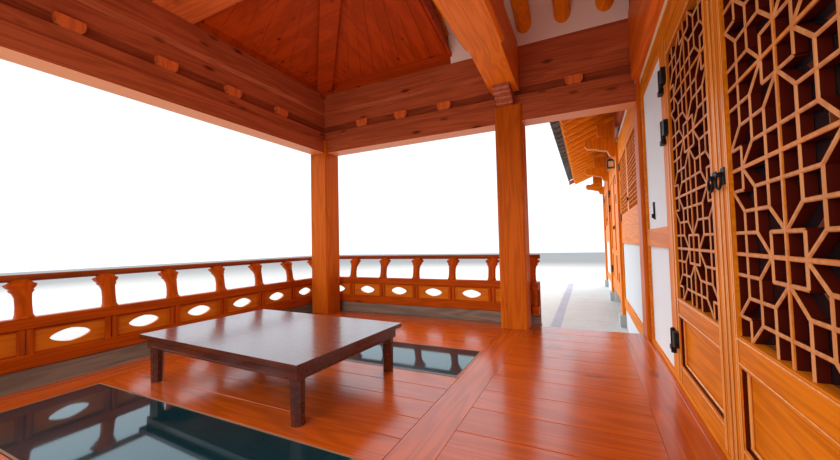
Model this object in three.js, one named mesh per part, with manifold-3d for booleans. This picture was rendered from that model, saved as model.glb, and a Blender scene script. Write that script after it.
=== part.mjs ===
// A hanok house: an open corner hall under a hip-and-gable roof, and a wing of rooms behind its door wall.
// Millimetres, +Z up. The plan is laid out from the hall: x runs from the railed side to the door wall,
// y runs from the near side to the far side, and z = 0 is the top of the hall floor.
import * as THREE from 'three';
import { mergeVertices } from 'three/addons/utils/BufferGeometryUtils.js';
import { ConvexGeometry } from 'three/addons/geometries/ConvexGeometry.js';
import Module from 'manifold-3d';

const wasm = await Module();
wasm.setup();

// Clearance between neighbouring pieces
const GAP = 0.3;

// Plan: post size, centre lines of the posts, and the wing's bays
const POST = 260;
const X_LEFT = -130;
const X_ENTRY = 2295;
const X_DOOR = 3516;
const SPAN = 3930;
const X_BACK = X_DOOR + SPAN;
const X_WING_MID = X_DOOR + SPAN / 2;
const Y_FAR = 130;
const Y_NEAR = Y_FAR - SPAN;
const Y_MID = (Y_FAR + Y_NEAR) / 2;
const BAY = 2430;
const WING_BAYS = 3;
const Y_END = Y_FAR + WING_BAYS * BAY;

// Levels
const GROUND = -630;
const TERRACE = -430;
const PLINTH = -260;
const FLOOR_T = 60;
const HEAD_Z = 2030;
const LINTEL_Z = 2035;
const LINTEL_H = 160;
const POST_TOP = LINTEL_Z + LINTEL_H;
const WALL_POST_TOP = 2285;
const BAND_TOP = 2300;
const SEAT_Z = 2385;
const PURLIN_Z = 2530;
const PURLIN_TOP = 2780;

// Timber sections, as half widths about the centre lines
const LINTEL_HALF = 99;
const PURLIN_HALF = 100;
const PURLIN_CHAMFER = 30;
const SEAT_HALF = 62;
const BAND_HALF = 80;
const SORO_BOARD_HALF = 40;
const BEAM_HALF = 90;

// Roof: run from ridge to tile edge, slopes, thickness and the lift of the corners
const HALF_SPAN = SPAN / 2;
const OVERHANG = 1000;
const RUN = HALF_SPAN + OVERHANG;
const RAFTER_RUN = RUN - 80;
const RAFTER_D = 150;
const RAFTER_STEP = 350;
const SLOPE = 0.42;
const CURVE = 0.27;
const EAVE_T = 110;
const SEAT_RUN = HALF_SPAN + PURLIN_HALF;
const RAFTER_HALF_H = (RAFTER_D / 2) * Math.hypot(1, SLOPE);
const LIFT = 170;
const GABLE_RUN = 1500;
const VERGE = 330;
const X_APEX = X_LEFT + HALF_SPAN;
const X_GABLE = X_APEX - GABLE_RUN;
const X_VERGE = X_GABLE - VERGE;

// Fan of rafters at a hip corner: where its heads lie, also over the boarded ceiling, its spacing and taper
const FAN_TOP = 1560;
const CEILING_HEAD = 1930;
const FAN_CLEAR = 260;
const FAN_HEAD = 89;
const FAN_TIP = 355;
const FAN_RAYS = 5;
const FAN_TAPER = 0.6;

const Y_VERGE = Y_END + POST / 2 + 450;
const EAVE_LEFT = X_APEX - RUN;
const EAVE_BACK = X_WING_MID + RUN;
const EAVE_NEAR = Y_MID - RUN;
const EAVE_FAR = Y_MID + RUN;

// Walls: front face of the rails, their depth, and the plaster slab behind them
const WALL_X = 3415;
const RAIL_D = 16;
const SLAB_D = 134;
const SILL_H = 140;
const MID_RAIL = [785, 920];
const JAMB_W = 110;

// Door wall: edges of the doorway, the leaves and their hinge pins
const DOOR_HALF = 870;
const LEAF_T = 46;
const LEAF_GAP = 6;
const MEET_GAP = 5.5;
const THRESHOLD = 26;
const LEAF_Z = [32, 2024];
const STILE = 92;
const LATTICE_Z = [510, 1905];
const LATTICE_COLS = 8;
const LATTICE_ROWS = 20;
const BAR_W = 12;
const BAR_D = 28;
const PANEL_Z = [136, 405];
const PIN_OUT = 18;
const PIN_R = 11;
const HINGE_Z = [[1754, 1855], [1447, 1545], [214, 315]];

// Floor: its overhang past the posts' inner faces, and the two glass panels
const FLOOR_OUT = 207;
const GLASS_X = [100, 2190];
const GLASS_OFF = [470, 1045];
const GLASS_T = 12;
const GLASS_LEDGE = 15;

// Railing: distances out from the posts' inner faces, and heights above the floor
const RAIL_IN = 326;
const RAIL_T = 70;
const RAIL_Z = { foot: 97, sill: 187, panel: 350, band: 424, hand: 681 };
const HAND_OUT = 441;
const HAND_R = 24;
const DECK_OUT = 430;
const DECK_TOP = -20;
const RETURN_X = 2500;
const EYE = { half: 110, high: 42 };
const LEFT_STEP = 455;
const LEFT_PANELS = 9;
const SIDE_STEP = 467;
const SIDE_PANELS = 6;

// Low table
const TABLE = { x: 1067, y: -1780, w: 1410, d: 920, h: 308, top: 26, apron: 62, leg: 74, inset: 30, turn: -2.6 };

const FINISH = {
  pine: { color: 0xd0701f, roughness: 0.42 },
  beam: { color: 0x9a3a1c, roughness: 0.5 },
  ceiling: { color: 0x9c2c0c, roughness: 0.5 },
  floor: { color: 0xb2431a, roughness: 0.2 },
  railing: { color: 0xc04a12, roughness: 0.5 },
  deck: { color: 0x4a342a, roughness: 0.8 },
  plaster: { color: 0xe6e6e8, roughness: 0.9 },
  stone: { color: 0xb9b7b0, roughness: 0.9 },
  tile: { color: 0x3c3f44, roughness: 0.7 },
  table: { color: 0x3a1612, roughness: 0.25 },
  glass: { color: 0x9fc4c8, roughness: 0.05 },
};

const house = new THREE.Group();

// Closed solid of a three.js geometry
function toSolid(geometry) {
  const bare = geometry.index ? geometry.clone() : geometry;
  for (const name of Object.keys(bare.attributes)) {
    if (name !== 'position') bare.deleteAttribute(name);
  }
  const merged = mergeVertices(bare, 0.001);
  return new wasm.Manifold(new wasm.Mesh({
    numProp: 3,
    vertProperties: new Float32Array(merged.attributes.position.array),
    triVerts: new Uint32Array(merged.index.array),
  }));
}

function join(...solids) {
  return solids.flat().reduce((sum, next) => sum.add(next));
}

function cut(body, ...tools) {
  return tools.flat().reduce((rest, tool) => rest.subtract(tool), body);
}

function box(x0, x1, y0, y1, z0, z1) {
  const geometry = new THREE.BoxGeometry(x1 - x0, y1 - y0, z1 - z0);
  geometry.translate((x0 + x1) / 2, (y0 + y1) / 2, (z0 + z1) / 2);
  return toSolid(geometry);
}

// Axes of a flat outline: its first axis, its second axis and the way it is extruded
const AXES = {
  z: [new THREE.Vector3(1, 0, 0), new THREE.Vector3(0, 1, 0), new THREE.Vector3(0, 0, 1)],
  y: [new THREE.Vector3(1, 0, 0), new THREE.Vector3(0, 0, 1), new THREE.Vector3(0, -1, 0)],
  x: [new THREE.Vector3(0, 1, 0), new THREE.Vector3(0, 0, 1), new THREE.Vector3(1, 0, 0)],
};

// Outline extruded along one axis, from one coordinate to another, with holes cut through it
function prism(points, axis, from, to, holes = []) {
  const shape = new THREE.Shape(points.map(([a, b]) => new THREE.Vector2(a, b)));
  const geometry = new THREE.ExtrudeGeometry(shape, { depth: to - from, bevelEnabled: false });
  geometry.applyMatrix4(new THREE.Matrix4().makeBasis(...AXES[axis]));
  const start = axis === 'y' ? to : from;
  geometry.translate(axis === 'x' ? start : 0, axis === 'y' ? start : 0, axis === 'z' ? start : 0);
  return cut(toSolid(geometry), holes.map((hole) => prism(hole, axis, from - 1, to + 1)));
}

// Bar with flat sides between two points, tapered where its first radius differs
function bar(from, to, radius, sides = 6, first = radius) {
  const a = new THREE.Vector3(...from);
  const b = new THREE.Vector3(...to);
  const geometry = new THREE.CylinderGeometry(radius, first, a.distanceTo(b), sides);
  geometry.rotateY(Math.PI / sides);
  const way = b.clone().sub(a).normalize();
  const side = Math.abs(way.z) > 0.99 ? new THREE.Vector3(1, 0, 0) : way.clone().cross(new THREE.Vector3(0, 0, 1)).normalize();
  geometry.applyMatrix4(new THREE.Matrix4().makeBasis(side, way, side.clone().cross(way)));
  const middle = a.add(b).multiplyScalar(0.5);
  geometry.translate(middle.x, middle.y, middle.z);
  return toSolid(geometry);
}

// Outline on both sides of an open path whose turns are square
function strip(path, out, inward) {
  const side = (offset) => path.map((p, i) => {
    const normals = [];
    if (i > 0) normals.push(normalOf(path[i - 1], p));
    if (i < path.length - 1) normals.push(normalOf(p, path[i + 1]));
    return [p[0] + offset * unique(normals, 0), p[1] + offset * unique(normals, 1)];
  });
  return [...side(out), ...side(-inward).reverse()];
}

function normalOf([ax, ay], [bx, by]) {
  const length = Math.hypot(bx - ax, by - ay);
  return [(by - ay) / length, -(bx - ax) / length];
}

function unique(normals, k) {
  const sum = normals.reduce((total, n) => total + n[k], 0);
  return Math.abs(sum) > 1 ? Math.sign(sum) : sum;
}

// Thick sheet over a grid: point(i, j) gives x, y, the lower z and the upper z
function sheet(across, down, point) {
  const positions = [];
  const index = [];
  const columns = across + 1;
  for (const level of [2, 3]) {
    for (let j = 0; j <= down; j++) {
      for (let i = 0; i <= across; i++) {
        const p = point(i, j);
        positions.push(p[0], p[1], p[level]);
      }
    }
  }
  const upper = columns * (down + 1);
  const quad = (a, b, c, d) => index.push(a, b, c, a, c, d);
  for (let j = 0; j < down; j++) {
    for (let i = 0; i < across; i++) {
      const a = j * columns + i;
      quad(a, a + columns, a + columns + 1, a + 1);
      quad(upper + a, upper + a + 1, upper + a + columns + 1, upper + a + columns);
    }
  }
  for (let i = 0; i < across; i++) {
    const last = down * columns + i;
    quad(i, i + 1, upper + i + 1, upper + i);
    quad(last + 1, last, upper + last, upper + last + 1);
  }
  for (let j = 0; j < down; j++) {
    const left = j * columns;
    const right = left + across;
    quad(left + columns, left, upper + left, upper + left + columns);
    quad(right, right + columns, upper + right + columns, upper + right);
  }
  const first = signedVolume(positions, index);
  const geometry = new THREE.BufferGeometry();
  geometry.setAttribute('position', new THREE.Float32BufferAttribute(positions, 3));
  geometry.setIndex(first < 0 ? index.map((_, k) => index[k - (k % 3) + (2 - (k % 3))]) : index);
  return toSolid(geometry);
}

function signedVolume(positions, index) {
  const at = (k) => new THREE.Vector3(...positions.slice(3 * k, 3 * k + 3));
  let total = 0;
  for (let k = 0; k < index.length; k += 3) {
    total += at(index[k]).dot(at(index[k + 1]).cross(at(index[k + 2])));
  }
  return total;
}

function place(name, solid, finish) {
  const raw = solid.getMesh();
  const geometry = new THREE.BufferGeometry();
  geometry.setAttribute('position', new THREE.BufferAttribute(raw.vertProperties, 3));
  geometry.setIndex(new THREE.BufferAttribute(raw.triVerts, 1));
  geometry.computeVertexNormals();
  const mesh = new THREE.Mesh(geometry, new THREE.MeshStandardMaterial(FINISH[finish]));
  mesh.name = name;
  house.add(mesh);
}

const clamp01 = (t) => Math.min(1, Math.max(0, t));

// Posts of the house, by their centres
const HALL_POSTS = {
  post_far_left: [X_LEFT, Y_FAR],
  post_far_entrance: [X_ENTRY, Y_FAR],
  post_door_far: [X_DOOR, Y_FAR],
  post_near_left: [X_LEFT, Y_NEAR],
  post_near_entrance: [X_ENTRY, Y_NEAR],
  post_door_near: [X_DOOR, Y_NEAR],
};
const wingRows = Array.from({ length: WING_BAYS }, (_, k) => Y_FAR + (k + 1) * BAY);
const COURT_POSTS = wingRows.map((y) => [X_DOOR, y]);
const OUTER_POSTS = [
  [X_WING_MID, Y_NEAR],
  [X_BACK, Y_NEAR],
  [X_BACK, Y_MID],
  [X_BACK, Y_FAR],
  ...wingRows.map((y) => [X_BACK, y]),
  [X_WING_MID, Y_END],
];
const ALL_POSTS = [...Object.values(HALL_POSTS), ...COURT_POSTS, ...OUTER_POSTS];
const PLINTH_HALF = 165;

function post([x, y], top = POST_TOP, grow = 0) {
  const half = POST / 2 + grow;
  return box(x - half, x + half, y - half, y + half, PLINTH + (grow ? -1 : GAP), top + grow);
}

// Path along the three open sides of the hall, at the posts' centres
const HALL_PATH = (endX) => [[endX, Y_FAR], [X_LEFT, Y_FAR], [X_LEFT, Y_NEAR], [endX, Y_NEAR]];

// Terrace of dressed stone with a plinth block under each post: the hall's part and the wing's part
const TERRACE_OUT = 900;
const COURT_OUT = 950;
const KERB_W = 155;
const TERRACE_END = 420;

function terrace(x0, x1, y0, y1, posts) {
  const sunk = 20;
  const half = PLINTH_HALF;
  const plinths = posts.map(([x, y]) => box(x - half, x + half, y - half, y + half, TERRACE - sunk, PLINTH));
  return join(box(x0, x1, y0, y1, GROUND, TERRACE), ...plinths);
}

function terraces() {
  const x0 = X_LEFT - TERRACE_OUT;
  const x1 = X_DOOR - COURT_OUT;
  const y0 = Y_NEAR - TERRACE_OUT;
  const open = ALL_POSTS.filter(([x]) => x < X_DOOR);
  const walled = ALL_POSTS.filter(([x]) => x >= X_DOOR);
  place('terrace_hall', terrace(x0, x1 - GAP, y0, Y_FAR + TERRACE_OUT, open), 'stone');
  const wing = terrace(x1, X_BACK + TERRACE_OUT, y0, Y_END + TERRACE_END, walled);
  const kerb = box(x1 - KERB_W, x1 + 1, Y_FAR + TERRACE_OUT + GAP, Y_END + TERRACE_END, GROUND, TERRACE);
  place('terrace_wing', join(wing, kerb), 'stone');
}

// Lintel beams let into the heads of the posts
function lintels(grow = 0) {
  const outline = strip(HALL_PATH(X_DOOR - POST / 2 - GAP), LINTEL_HALF + grow, LINTEL_HALF + grow);
  return prism(outline, 'z', LINTEL_Z - grow, LINTEL_Z + LINTEL_H + (grow ? 10 : 0));
}

function hallPosts() {
  const slot = lintels(GAP);
  for (const [name, centre] of Object.entries(HALL_POSTS)) place(name, cut(post(centre), slot), 'pine');
}

// Flat band over the lintels, a recessed board on it, and flared bearing blocks on both faces
function soroBand() {
  const path = HALL_PATH(X_DOOR - POST / 2 - GAP);
  const band = prism(strip(path, BAND_HALF, BAND_HALF), 'z', POST_TOP + GAP, BAND_TOP);
  const high = SEAT_Z - GAP;
  const board = prism(strip(path, SORO_BOARD_HALF, SORO_BOARD_HALF), 'z', BAND_TOP - 1, high);
  const waist = BAND_TOP + 35;
  const low = BAND_TOP - 1;
  const [wide, narrow] = [76, 54];
  const profile = (c) => [[c - narrow, low], [c + narrow, low], [c + wide, waist], [c + wide, high], [c - wide, high],
    [c - wide, waist]];
  const farX = [528, 1066, 1604, 2905];
  const leftY = [-2, -1, 0, 1, 2].map((k) => Y_MID + 590 * k);
  const blocks = [
    ...farX.flatMap((x) => [Y_FAR, Y_NEAR].map((y) => prism(profile(x), 'y', y - 92, y + 92))),
    ...leftY.map((y) => prism(profile(y), 'x', X_LEFT - 92, X_LEFT + 92)),
  ];
  const notches = [Y_FAR, Y_NEAR].map((y) => bracketBlank(y, GAP));
  return cut(join(band, board, ...blocks), ...notches);
}

// Square purlins with chamfered lower edges on their seat timbers, round the hall and along the wing
function purlin(axis, centre, from, to) {
  const [h, c] = [PURLIN_HALF, PURLIN_CHAMFER];
  const section = [[-h + c, PURLIN_Z], [h - c, PURLIN_Z], [h, PURLIN_Z + c], [h, PURLIN_TOP], [-h, PURLIN_TOP],
    [-h, PURLIN_Z + c]];
  return prism(section.map(([a, z]) => [a + centre, z]), axis, from, to);
}

function eavePurlins() {
  const verge = Y_END + 400;
  const path = [[X_BACK, verge], [X_BACK, Y_NEAR], [X_LEFT, Y_NEAR], [X_LEFT, Y_FAR], [X_DOOR, Y_FAR],
    [X_DOOR, verge]].reverse();
  const seat = prism(strip(path, SEAT_HALF, SEAT_HALF), 'z', SEAT_Z, PURLIN_Z + 1);
  const h = PURLIN_HALF;
  return join(seat,
    purlin('y', X_BACK, Y_NEAR - h, verge), purlin('y', X_LEFT, Y_NEAR - h, Y_FAR + h),
    purlin('y', X_DOOR, Y_FAR - h, verge), purlin('x', Y_NEAR, X_LEFT - h, X_BACK + h),
    purlin('x', Y_FAR, X_LEFT - h, X_DOOR + h));
}

// Carved bracket through a post head: cloud nose inside, curled arm and beam end outside
const BRACKET_HALF = 76;
const GIRDER_X = 2280;
const GIRDER_Z = 2400;
const NECK_Z = 2335;

function bracketBlank(y, grow) {
  const half = BRACKET_HALF + grow;
  return box(GIRDER_X - half, GIRDER_X + half, y - 300, y + 300, POST_TOP - grow, NECK_Z - GAP + grow);
}

function bracket(y, inward) {
  const top = NECK_Z - GAP;
  const seat = POST_TOP + GAP;
  const face = POST / 2 + GAP;
  const s = (d, z) => [y + inward * d, z];
  const nose = [s(face, seat), s(face + 44, seat), s(face + 74, 2216), s(face + 82, 2244), s(face + 122, 2250),
    s(face + 148, 2276), s(face + 190, 2286), s(face + 215, top)];
  const arm = [s(-330, top), s(-470, top), s(-520, 2320), s(-535, 2280), s(-500, 2253), s(-450, 2257),
    s(-400, 2235), s(-300, seat)];
  const body = prism([...nose, ...arm], 'x', GIRDER_X - BRACKET_HALF, GIRDER_X + BRACKET_HALF);
  const ends = [y - inward * 250, y - inward * 420].sort((a, b) => a - b);
  const beamEnd = box(GIRDER_X - 120, GIRDER_X + 120, ends[0], ends[1], top - 2, 2640);
  return join(body, beamEnd);
}

// Great beam over the hall: its necks are narrower and drop to the brackets, its lower edges are eased
const GIRDER_HALF = 165;
const GIRDER_TOP = 2815;

function girderMain() {
  const ease = 24;
  const half = GIRDER_HALF;
  const section = [[-half + ease, GIRDER_Z], [half - ease, GIRDER_Z], [half, GIRDER_Z + ease], [half, GIRDER_TOP],
    [-half, GIRDER_TOP], [-half, GIRDER_Z + ease]].map(([x, z]) => [x + GIRDER_X, z]);
  const y0 = Y_NEAR + PURLIN_HALF + GAP;
  const y1 = Y_FAR - PURLIN_HALF - GAP;
  const neck = 810;
  const flat = 230;
  const side = [[y0, NECK_Z], [y0 + flat, NECK_Z], [y0 + neck, GIRDER_Z], [y1 - neck, GIRDER_Z], [y1 - flat, NECK_Z],
    [y1, NECK_Z], [y1, GIRDER_TOP], [y0, GIRDER_TOP]];
  return join(prism(side, 'x', GIRDER_X - POST / 2, GIRDER_X + POST / 2),
    prism(section, 'y', y0 + neck, y1 - neck));
}

// Beam over the door wall, seated on the heads of its two posts
const DOOR_GIRDER_Z = 2205;

function girderDoor() {
  const seat = POST_TOP + GAP;
  const y0 = Y_NEAR + POST / 2;
  const y1 = Y_FAR - POST / 2;
  const onPost = 25;
  const ease = 40;
  const outline = [[y0 + GAP, DOOR_GIRDER_Z], [y1 - GAP, DOOR_GIRDER_Z], [y1 - GAP, seat], [y1 + onPost, seat],
    [y1 + onPost, GIRDER_TOP], [y0 - onPost, GIRDER_TOP], [y0 - onPost, seat], [y0 + GAP, seat]];
  const corner = X_DOOR - 160;
  const bevel = prism([[corner - 1, seat - 1], [corner + ease, seat - 1], [corner - 1, DOOR_GIRDER_Z + ease]], 'y',
    y0 - 30, y1 + 30);
  return cut(prism(outline, 'x', corner, X_DOOR + 160), bevel);
}

// Side beam from the left purlin to the top of the great beam, under the ceiling's peak
const SIDE_BEAM_Y = Y_MID + 35;
const SIDE_BEAM_HALF = 160;

function sideBeam(grow = 0) {
  const left = X_LEFT - 60;
  const right = GIRDER_X + GIRDER_HALF - 20;
  const seat = GIRDER_X - GIRDER_HALF - 10;
  const outline = [[left, PURLIN_TOP + GAP - grow], [seat, GIRDER_TOP + GAP - grow],
    [right, GIRDER_TOP + GAP - grow], [right, GIRDER_TOP + 190 + grow], [left, PURLIN_TOP + 120 + grow]];
  return prism(outline, 'y', SIDE_BEAM_Y - SIDE_BEAM_HALF - grow, SIDE_BEAM_Y + SIDE_BEAM_HALF + grow);
}

// Heights of the roof over a point, by its level distance from the ridge and from a lifted corner
function underside(run) {
  return PURLIN_TOP + 2 * RAFTER_HALF_H + SLOPE * (SEAT_RUN - run) + 3 * GAP;
}

function topside(run) {
  const down = RUN - run;
  return underside(RUN) + EAVE_T + SLOPE * down + (CURVE * down * down) / (2 * RUN);
}

// Level under the rafters, clear of them
const rafterFoot = (run) => underside(run) - 2 * RAFTER_HALF_H - 3 * GAP;

// Rays of a fan, as distances along the eave from the hip line
const raySpacing = (run) => Math.max(10, FAN_HEAD + ((FAN_TIP - FAN_HEAD) * (run - FAN_TOP)) / (RAFTER_RUN - FAN_TOP));
const rayOffset = (k, run) => FAN_CLEAR + k * raySpacing(run);

// Lift of a corner, straight along each ray of its fan
function lifted(run, offset) {
  const out = Math.max(0, (run - FAN_TOP) / (RUN - FAN_TOP));
  const ray = Math.max(-1, (offset - FAN_CLEAR) / raySpacing(run));
  return LIFT * out * Math.max(0, 1 - ray / FAN_RAYS) ** 2;
}

// The five slopes: where a point lies, where its two ends are, and which ends are lifted corners
const SLOPES = {
  far: { at: (a, run) => [a, Y_MID + run], ends: (run) => [X_APEX - run, X_WING_MID - run], low: true, sides: 6 },
  near: { at: (a, run) => [a, Y_MID - run], ends: (run) => [X_APEX - run, X_WING_MID + run], low: true, high: true },
  left: { at: (a, run) => [X_APEX - run, a], ends: (run) => [Y_MID - run, Y_MID + run], low: true, high: true },
  back: { at: (a, run) => [X_WING_MID + run, a], ends: (run) => [Y_MID - run, Y_VERGE], low: true },
  court: { at: (a, run) => [X_WING_MID - run, a], ends: (run) => [Y_MID + run, Y_VERGE], sides: 6 },
};

function liftAt(slope, a, run) {
  const [a0, a1] = slope.ends(run);
  return Math.max(slope.low ? lifted(run, a - a0) : 0, slope.high ? lifted(run, a1 - a) : 0);
}

// Places along a slope at one run: its ends, and the rays of each lifted corner
function stations(slope, run, first = GAP, skip = 0) {
  const [a0, a1] = slope.ends(run);
  const rays = Array.from({ length: FAN_RAYS + 1 - skip }, (_, k) => rayOffset(k + skip, run));
  const low = slope.low ? [first, ...rays] : [first];
  const high = slope.high ? [first, ...rays] : [first];
  return [...low.map((d) => a0 + d), ...high.reverse().map((d) => a1 - d)];
}

function slab(slope, runs, grow = 0) {
  const across = stations(slope, runs[0]).length - 1;
  return sheet(across, runs.length - 1, (i, j) => {
    const run = runs[j];
    const a = stations(slope, run)[i];
    const up = liftAt(slope, a, run);
    return [...slope.at(a, run), underside(run) + up - grow, topside(run) + up + grow];
  });
}

function roofSlopes() {
  const lower = [GABLE_RUN, FAN_TOP, 2000, 2430, RUN];
  const upper = [GAP, 500, 1000, GABLE_RUN];
  const whole = [GAP, 500, 1000, ...lower];
  const skirt = slab(SLOPES.left, [GABLE_RUN - 1, ...lower.slice(1)], GAP);
  for (const name of ['far', 'near']) {
    const slope = SLOPES[name];
    const verge = { ...slope, ends: (run) => [X_VERGE, slope.ends(run)[1]], low: false, high: false };
    place(`roof_${name}`, join(slab(slope, lower), cut(slab(verge, upper), skirt)), 'tile');
  }
  place('roof_left', slab(SLOPES.left, lower), 'tile');
  place('roof_back', slab(SLOPES.back, whole), 'tile');
  place('roof_court', slab(SLOPES.court, whole), 'tile');
}

// Ridge walls of stacked tile: the main ridges, the verges and the hips
function ridgeBand(line, half, height, steps) {
  return sheet(steps, 1, (i, j) => {
    const { x, y, z, nx, ny, rise = 0 } = line(i / steps);
    const off = half * (2 * j - 1);
    return [x + nx * off, y + ny * off, z + GAP, z + height + rise];
  });
}

const RIDGE_HALF = 110;
const RIDGE_H = 300;
const endRise = (t) => 120 * clamp01(t) ** 2;

function mainRidges() {
  const top = topside(0);
  const x0 = X_VERGE - 30;
  const xSpan = X_WING_MID + RIDGE_HALF - x0;
  const y0 = Y_MID - RIDGE_HALF;
  const ySpan = Y_VERGE + 30 - y0;
  const alongX = (u) => ({ x: x0 + u * xSpan, y: Y_MID, z: top, nx: 0, ny: 1, rise: endRise(1 - (u * xSpan) / 1500) });
  const alongY = (u) => ({ x: X_WING_MID, y: y0 + u * ySpan, z: top, nx: 1, ny: 0,
    rise: endRise(1 - ((1 - u) * ySpan) / 1500) });
  return [ridgeBand(alongX, RIDGE_HALF, RIDGE_H, 7), ridgeBand(alongY, RIDGE_HALF, RIDGE_H, 7)];
}

function vergeRidge(at, reach) {
  return ridgeBand((u) => {
    const run = u * reach;
    const [x, y, nx, ny] = at(run);
    return { x, y, z: topside(run) + (run > FAN_TOP ? 24 : 8), nx, ny };
  }, 85, 190, 5);
}

function hipRidge(x, y, sx, sy, run0) {
  return ridgeBand((u) => {
    const run = run0 + (RUN - 60 - run0) * u;
    const z = topside(run) + lifted(run, 0) + 14;
    const rise = endRise(4 * u - 3) * 0.6;
    return { x: x + sx * run, y: y + sy * run, z, nx: -sy * Math.SQRT1_2, ny: sx * Math.SQRT1_2, rise };
  }, 90, 200, 6);
}

function ridges() {
  const bands = mainRidges();
  const hipHead = GABLE_RUN + 80;
  for (const way of [1, -1]) {
    bands.push(vergeRidge((run) => [X_GABLE - 60, Y_MID + way * run, 1, 0], hipHead + 40));
    bands.push(vergeRidge((run) => [X_WING_MID + way * run, Y_VERGE - 90, 0, 1], RUN - 60));
    bands.push(hipRidge(X_APEX, Y_MID, -1, way, hipHead));
  }
  bands.push(hipRidge(X_WING_MID, Y_MID, 1, -1, 0));
  return join(...bands);
}

// Rafter on a slope, from one point to another; over a fan it rises as far as the roof lets it
function rafter(slope, a0, run0, a1, run1, head = 1) {
  const point = (t) => ({ a: a0 + (a1 - a0) * t, run: run0 + (run1 - run0) * t });
  const roofLift = ({ a, run }) => Math.min(...[-80, 0, 80].map((d) => liftAt(slope, a + d, run))) * 0.88 - 12;
  const rise = Math.max(0, Math.min(...[0.25, 0.4, 0.55, 0.7, 0.85, 1].map((t) => roofLift(point(t)) / t)));
  const end = (t) => {
    const { a, run } = point(t);
    return [...slope.at(a, run), underside(run) - 2 * GAP - RAFTER_HALF_H + rise * t];
  };
  const sides = slope.sides ?? 4;
  const radius = RAFTER_D / 2 / Math.cos(Math.PI / sides);
  return bar(end(0), end(1), radius, sides, radius * head);
}

// Board that ties the rafters' tips together
function eaveBoard(slope, first, last = first) {
  const rows = [RAFTER_RUN - 75, RAFTER_RUN - 5];
  const line = (run) => {
    const list = stations(slope, run, first, 1);
    return slope.high ? list : [...list.slice(0, -1), slope.ends(run)[1] - last];
  };
  return sheet(line(rows[0]).length - 1, 1, (i, j) => {
    const a = line(rows[j])[i];
    const z = underside(rows[j]) + liftAt(slope, a, rows[j]);
    return [...slope.at(a, rows[j]), z - 66, z - 20];
  });
}

// Rafters that fan out from a hip to the eave: way is +1 where the corner lies at the low end
function fan(slope, hipAt, way, top = FAN_TOP) {
  const on = (k, run) => hipAt(run) + way * rayOffset(k, run);
  return Array.from({ length: FAN_RAYS }, (_, k) => (
    rafter(slope, on(k, top), top, on(k, RAFTER_RUN), RAFTER_RUN, FAN_TAPER)));
}

function row(slope, from, to, run0, tip = () => RAFTER_RUN, step = RAFTER_STEP) {
  const list = [];
  for (let a = from; a <= to + 1; a += step) list.push(rafter(slope, a, run0(a), a, tip(a)));
  return list;
}

// Rafters show to the ridge only over the entry bay; over the boarded ceiling they end at the purlins
const LAST_X = X_ENTRY + 185 + 2 * RAFTER_STEP;
const FIRST_X = LAST_X - 6 * RAFTER_STEP;
const CEILING_X = 1700;
const head = (x) => (x > CEILING_X + 200 && x < X_DOOR ? 70 : CEILING_HEAD);

function raftersInner() {
  const { far, court } = SLOPES;
  const parts = fan(far, (run) => X_APEX - run, 1, CEILING_HEAD);
  parts.push(...row(far, FIRST_X, LAST_X, head, (x) => Math.min(RAFTER_RUN, X_WING_MID - x - 60)));
  parts.push(...row(court, Y_FAR + 340, Y_VERGE - 150, () => FAN_TOP, (y) => Math.min(RAFTER_RUN, y - Y_MID - 60)));
  parts.push(eaveBoard(far, 215, 0), eaveBoard({ ...court, ends: (run) => [Y_MID + run, Y_VERGE] }, 0, 60));
  const valley = (run) => [X_WING_MID - run, Y_MID + run, underside(run) - 2 * GAP - RAFTER_HALF_H - 1];
  parts.push(bar(valley(FAN_TOP), valley(RAFTER_RUN), RAFTER_D / 2));
  return join(...parts);
}

function raftersNear() {
  const { near } = SLOPES;
  const wingStep = 339;
  return join(...fan(near, (run) => X_APEX - run, 1, CEILING_HEAD), ...fan(near, (run) => X_WING_MID + run, -1),
    ...row(near, FIRST_X, LAST_X, head), eaveBoard(near, 215),
    ...row(near, LAST_X + wingStep, X_WING_MID + 760, () => FAN_TOP, undefined, wingStep));
}

function raftersLeft() {
  const { left } = SLOPES;
  const beside = [-2, -1, 1, 2].map((k) => Y_MID + k * RAFTER_STEP);
  const clear = HALF_SPAN + 110;
  return join(...fan(left, (run) => Y_MID - run, 1, CEILING_HEAD), ...fan(left, (run) => Y_MID + run, -1, CEILING_HEAD),
    ...beside.map((y) => rafter(left, y, CEILING_HEAD, y, RAFTER_RUN)), rafter(left, Y_MID, clear, Y_MID, RAFTER_RUN),
    eaveBoard(left, 215));
}

function raftersBack() {
  const { back } = SLOPES;
  return join(...fan(back, (run) => Y_MID - run, 1), ...row(back, Y_MID - 750, Y_VERGE - 150, () => FAN_TOP),
    eaveBoard(back, 215, 60));
}

// Boarded ceiling over the hipped half: height of its lower face by the distance from its peak
const BOARD_T = 26;
const BOARD_RUN = 1755;
const BOARD_LEFT = 80;
const BOARD_SLOPE = 0.222;
const BOARD_PEAK = 3250;
const boardLow = (run) => BOARD_PEAK - BOARD_SLOPE * run;

// Hip rafter along a corner's diagonal: flat on the purlins' crossing, lifted at its tip
const HIP_HALF = 88;
const HIP_SHY = SLOPE * HIP_HALF * Math.SQRT1_2;

function hipRafter(x, y, sx, sy, run0) {
  const flat = PURLIN_TOP + GAP;
  const droop = (run) => 0.06 * Math.max(0, run - 2300);
  const top = (run) => underside(run) + lifted(run, 0) - HIP_SHY - 45;
  const profile = [run0, 2065, 2350, 2600, RAFTER_RUN + 30].map((run) => [run, flat - droop(run), top(run)]);
  const half = HIP_HALF * Math.SQRT1_2;
  return sheet(1, profile.length - 1, (i, j) => {
    const [run, z0, z1] = profile[j];
    const off = half * (2 * i - 1);
    return [x + sx * run - sy * off, y + sy * run + sx * off, z0, z1];
  });
}

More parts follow.
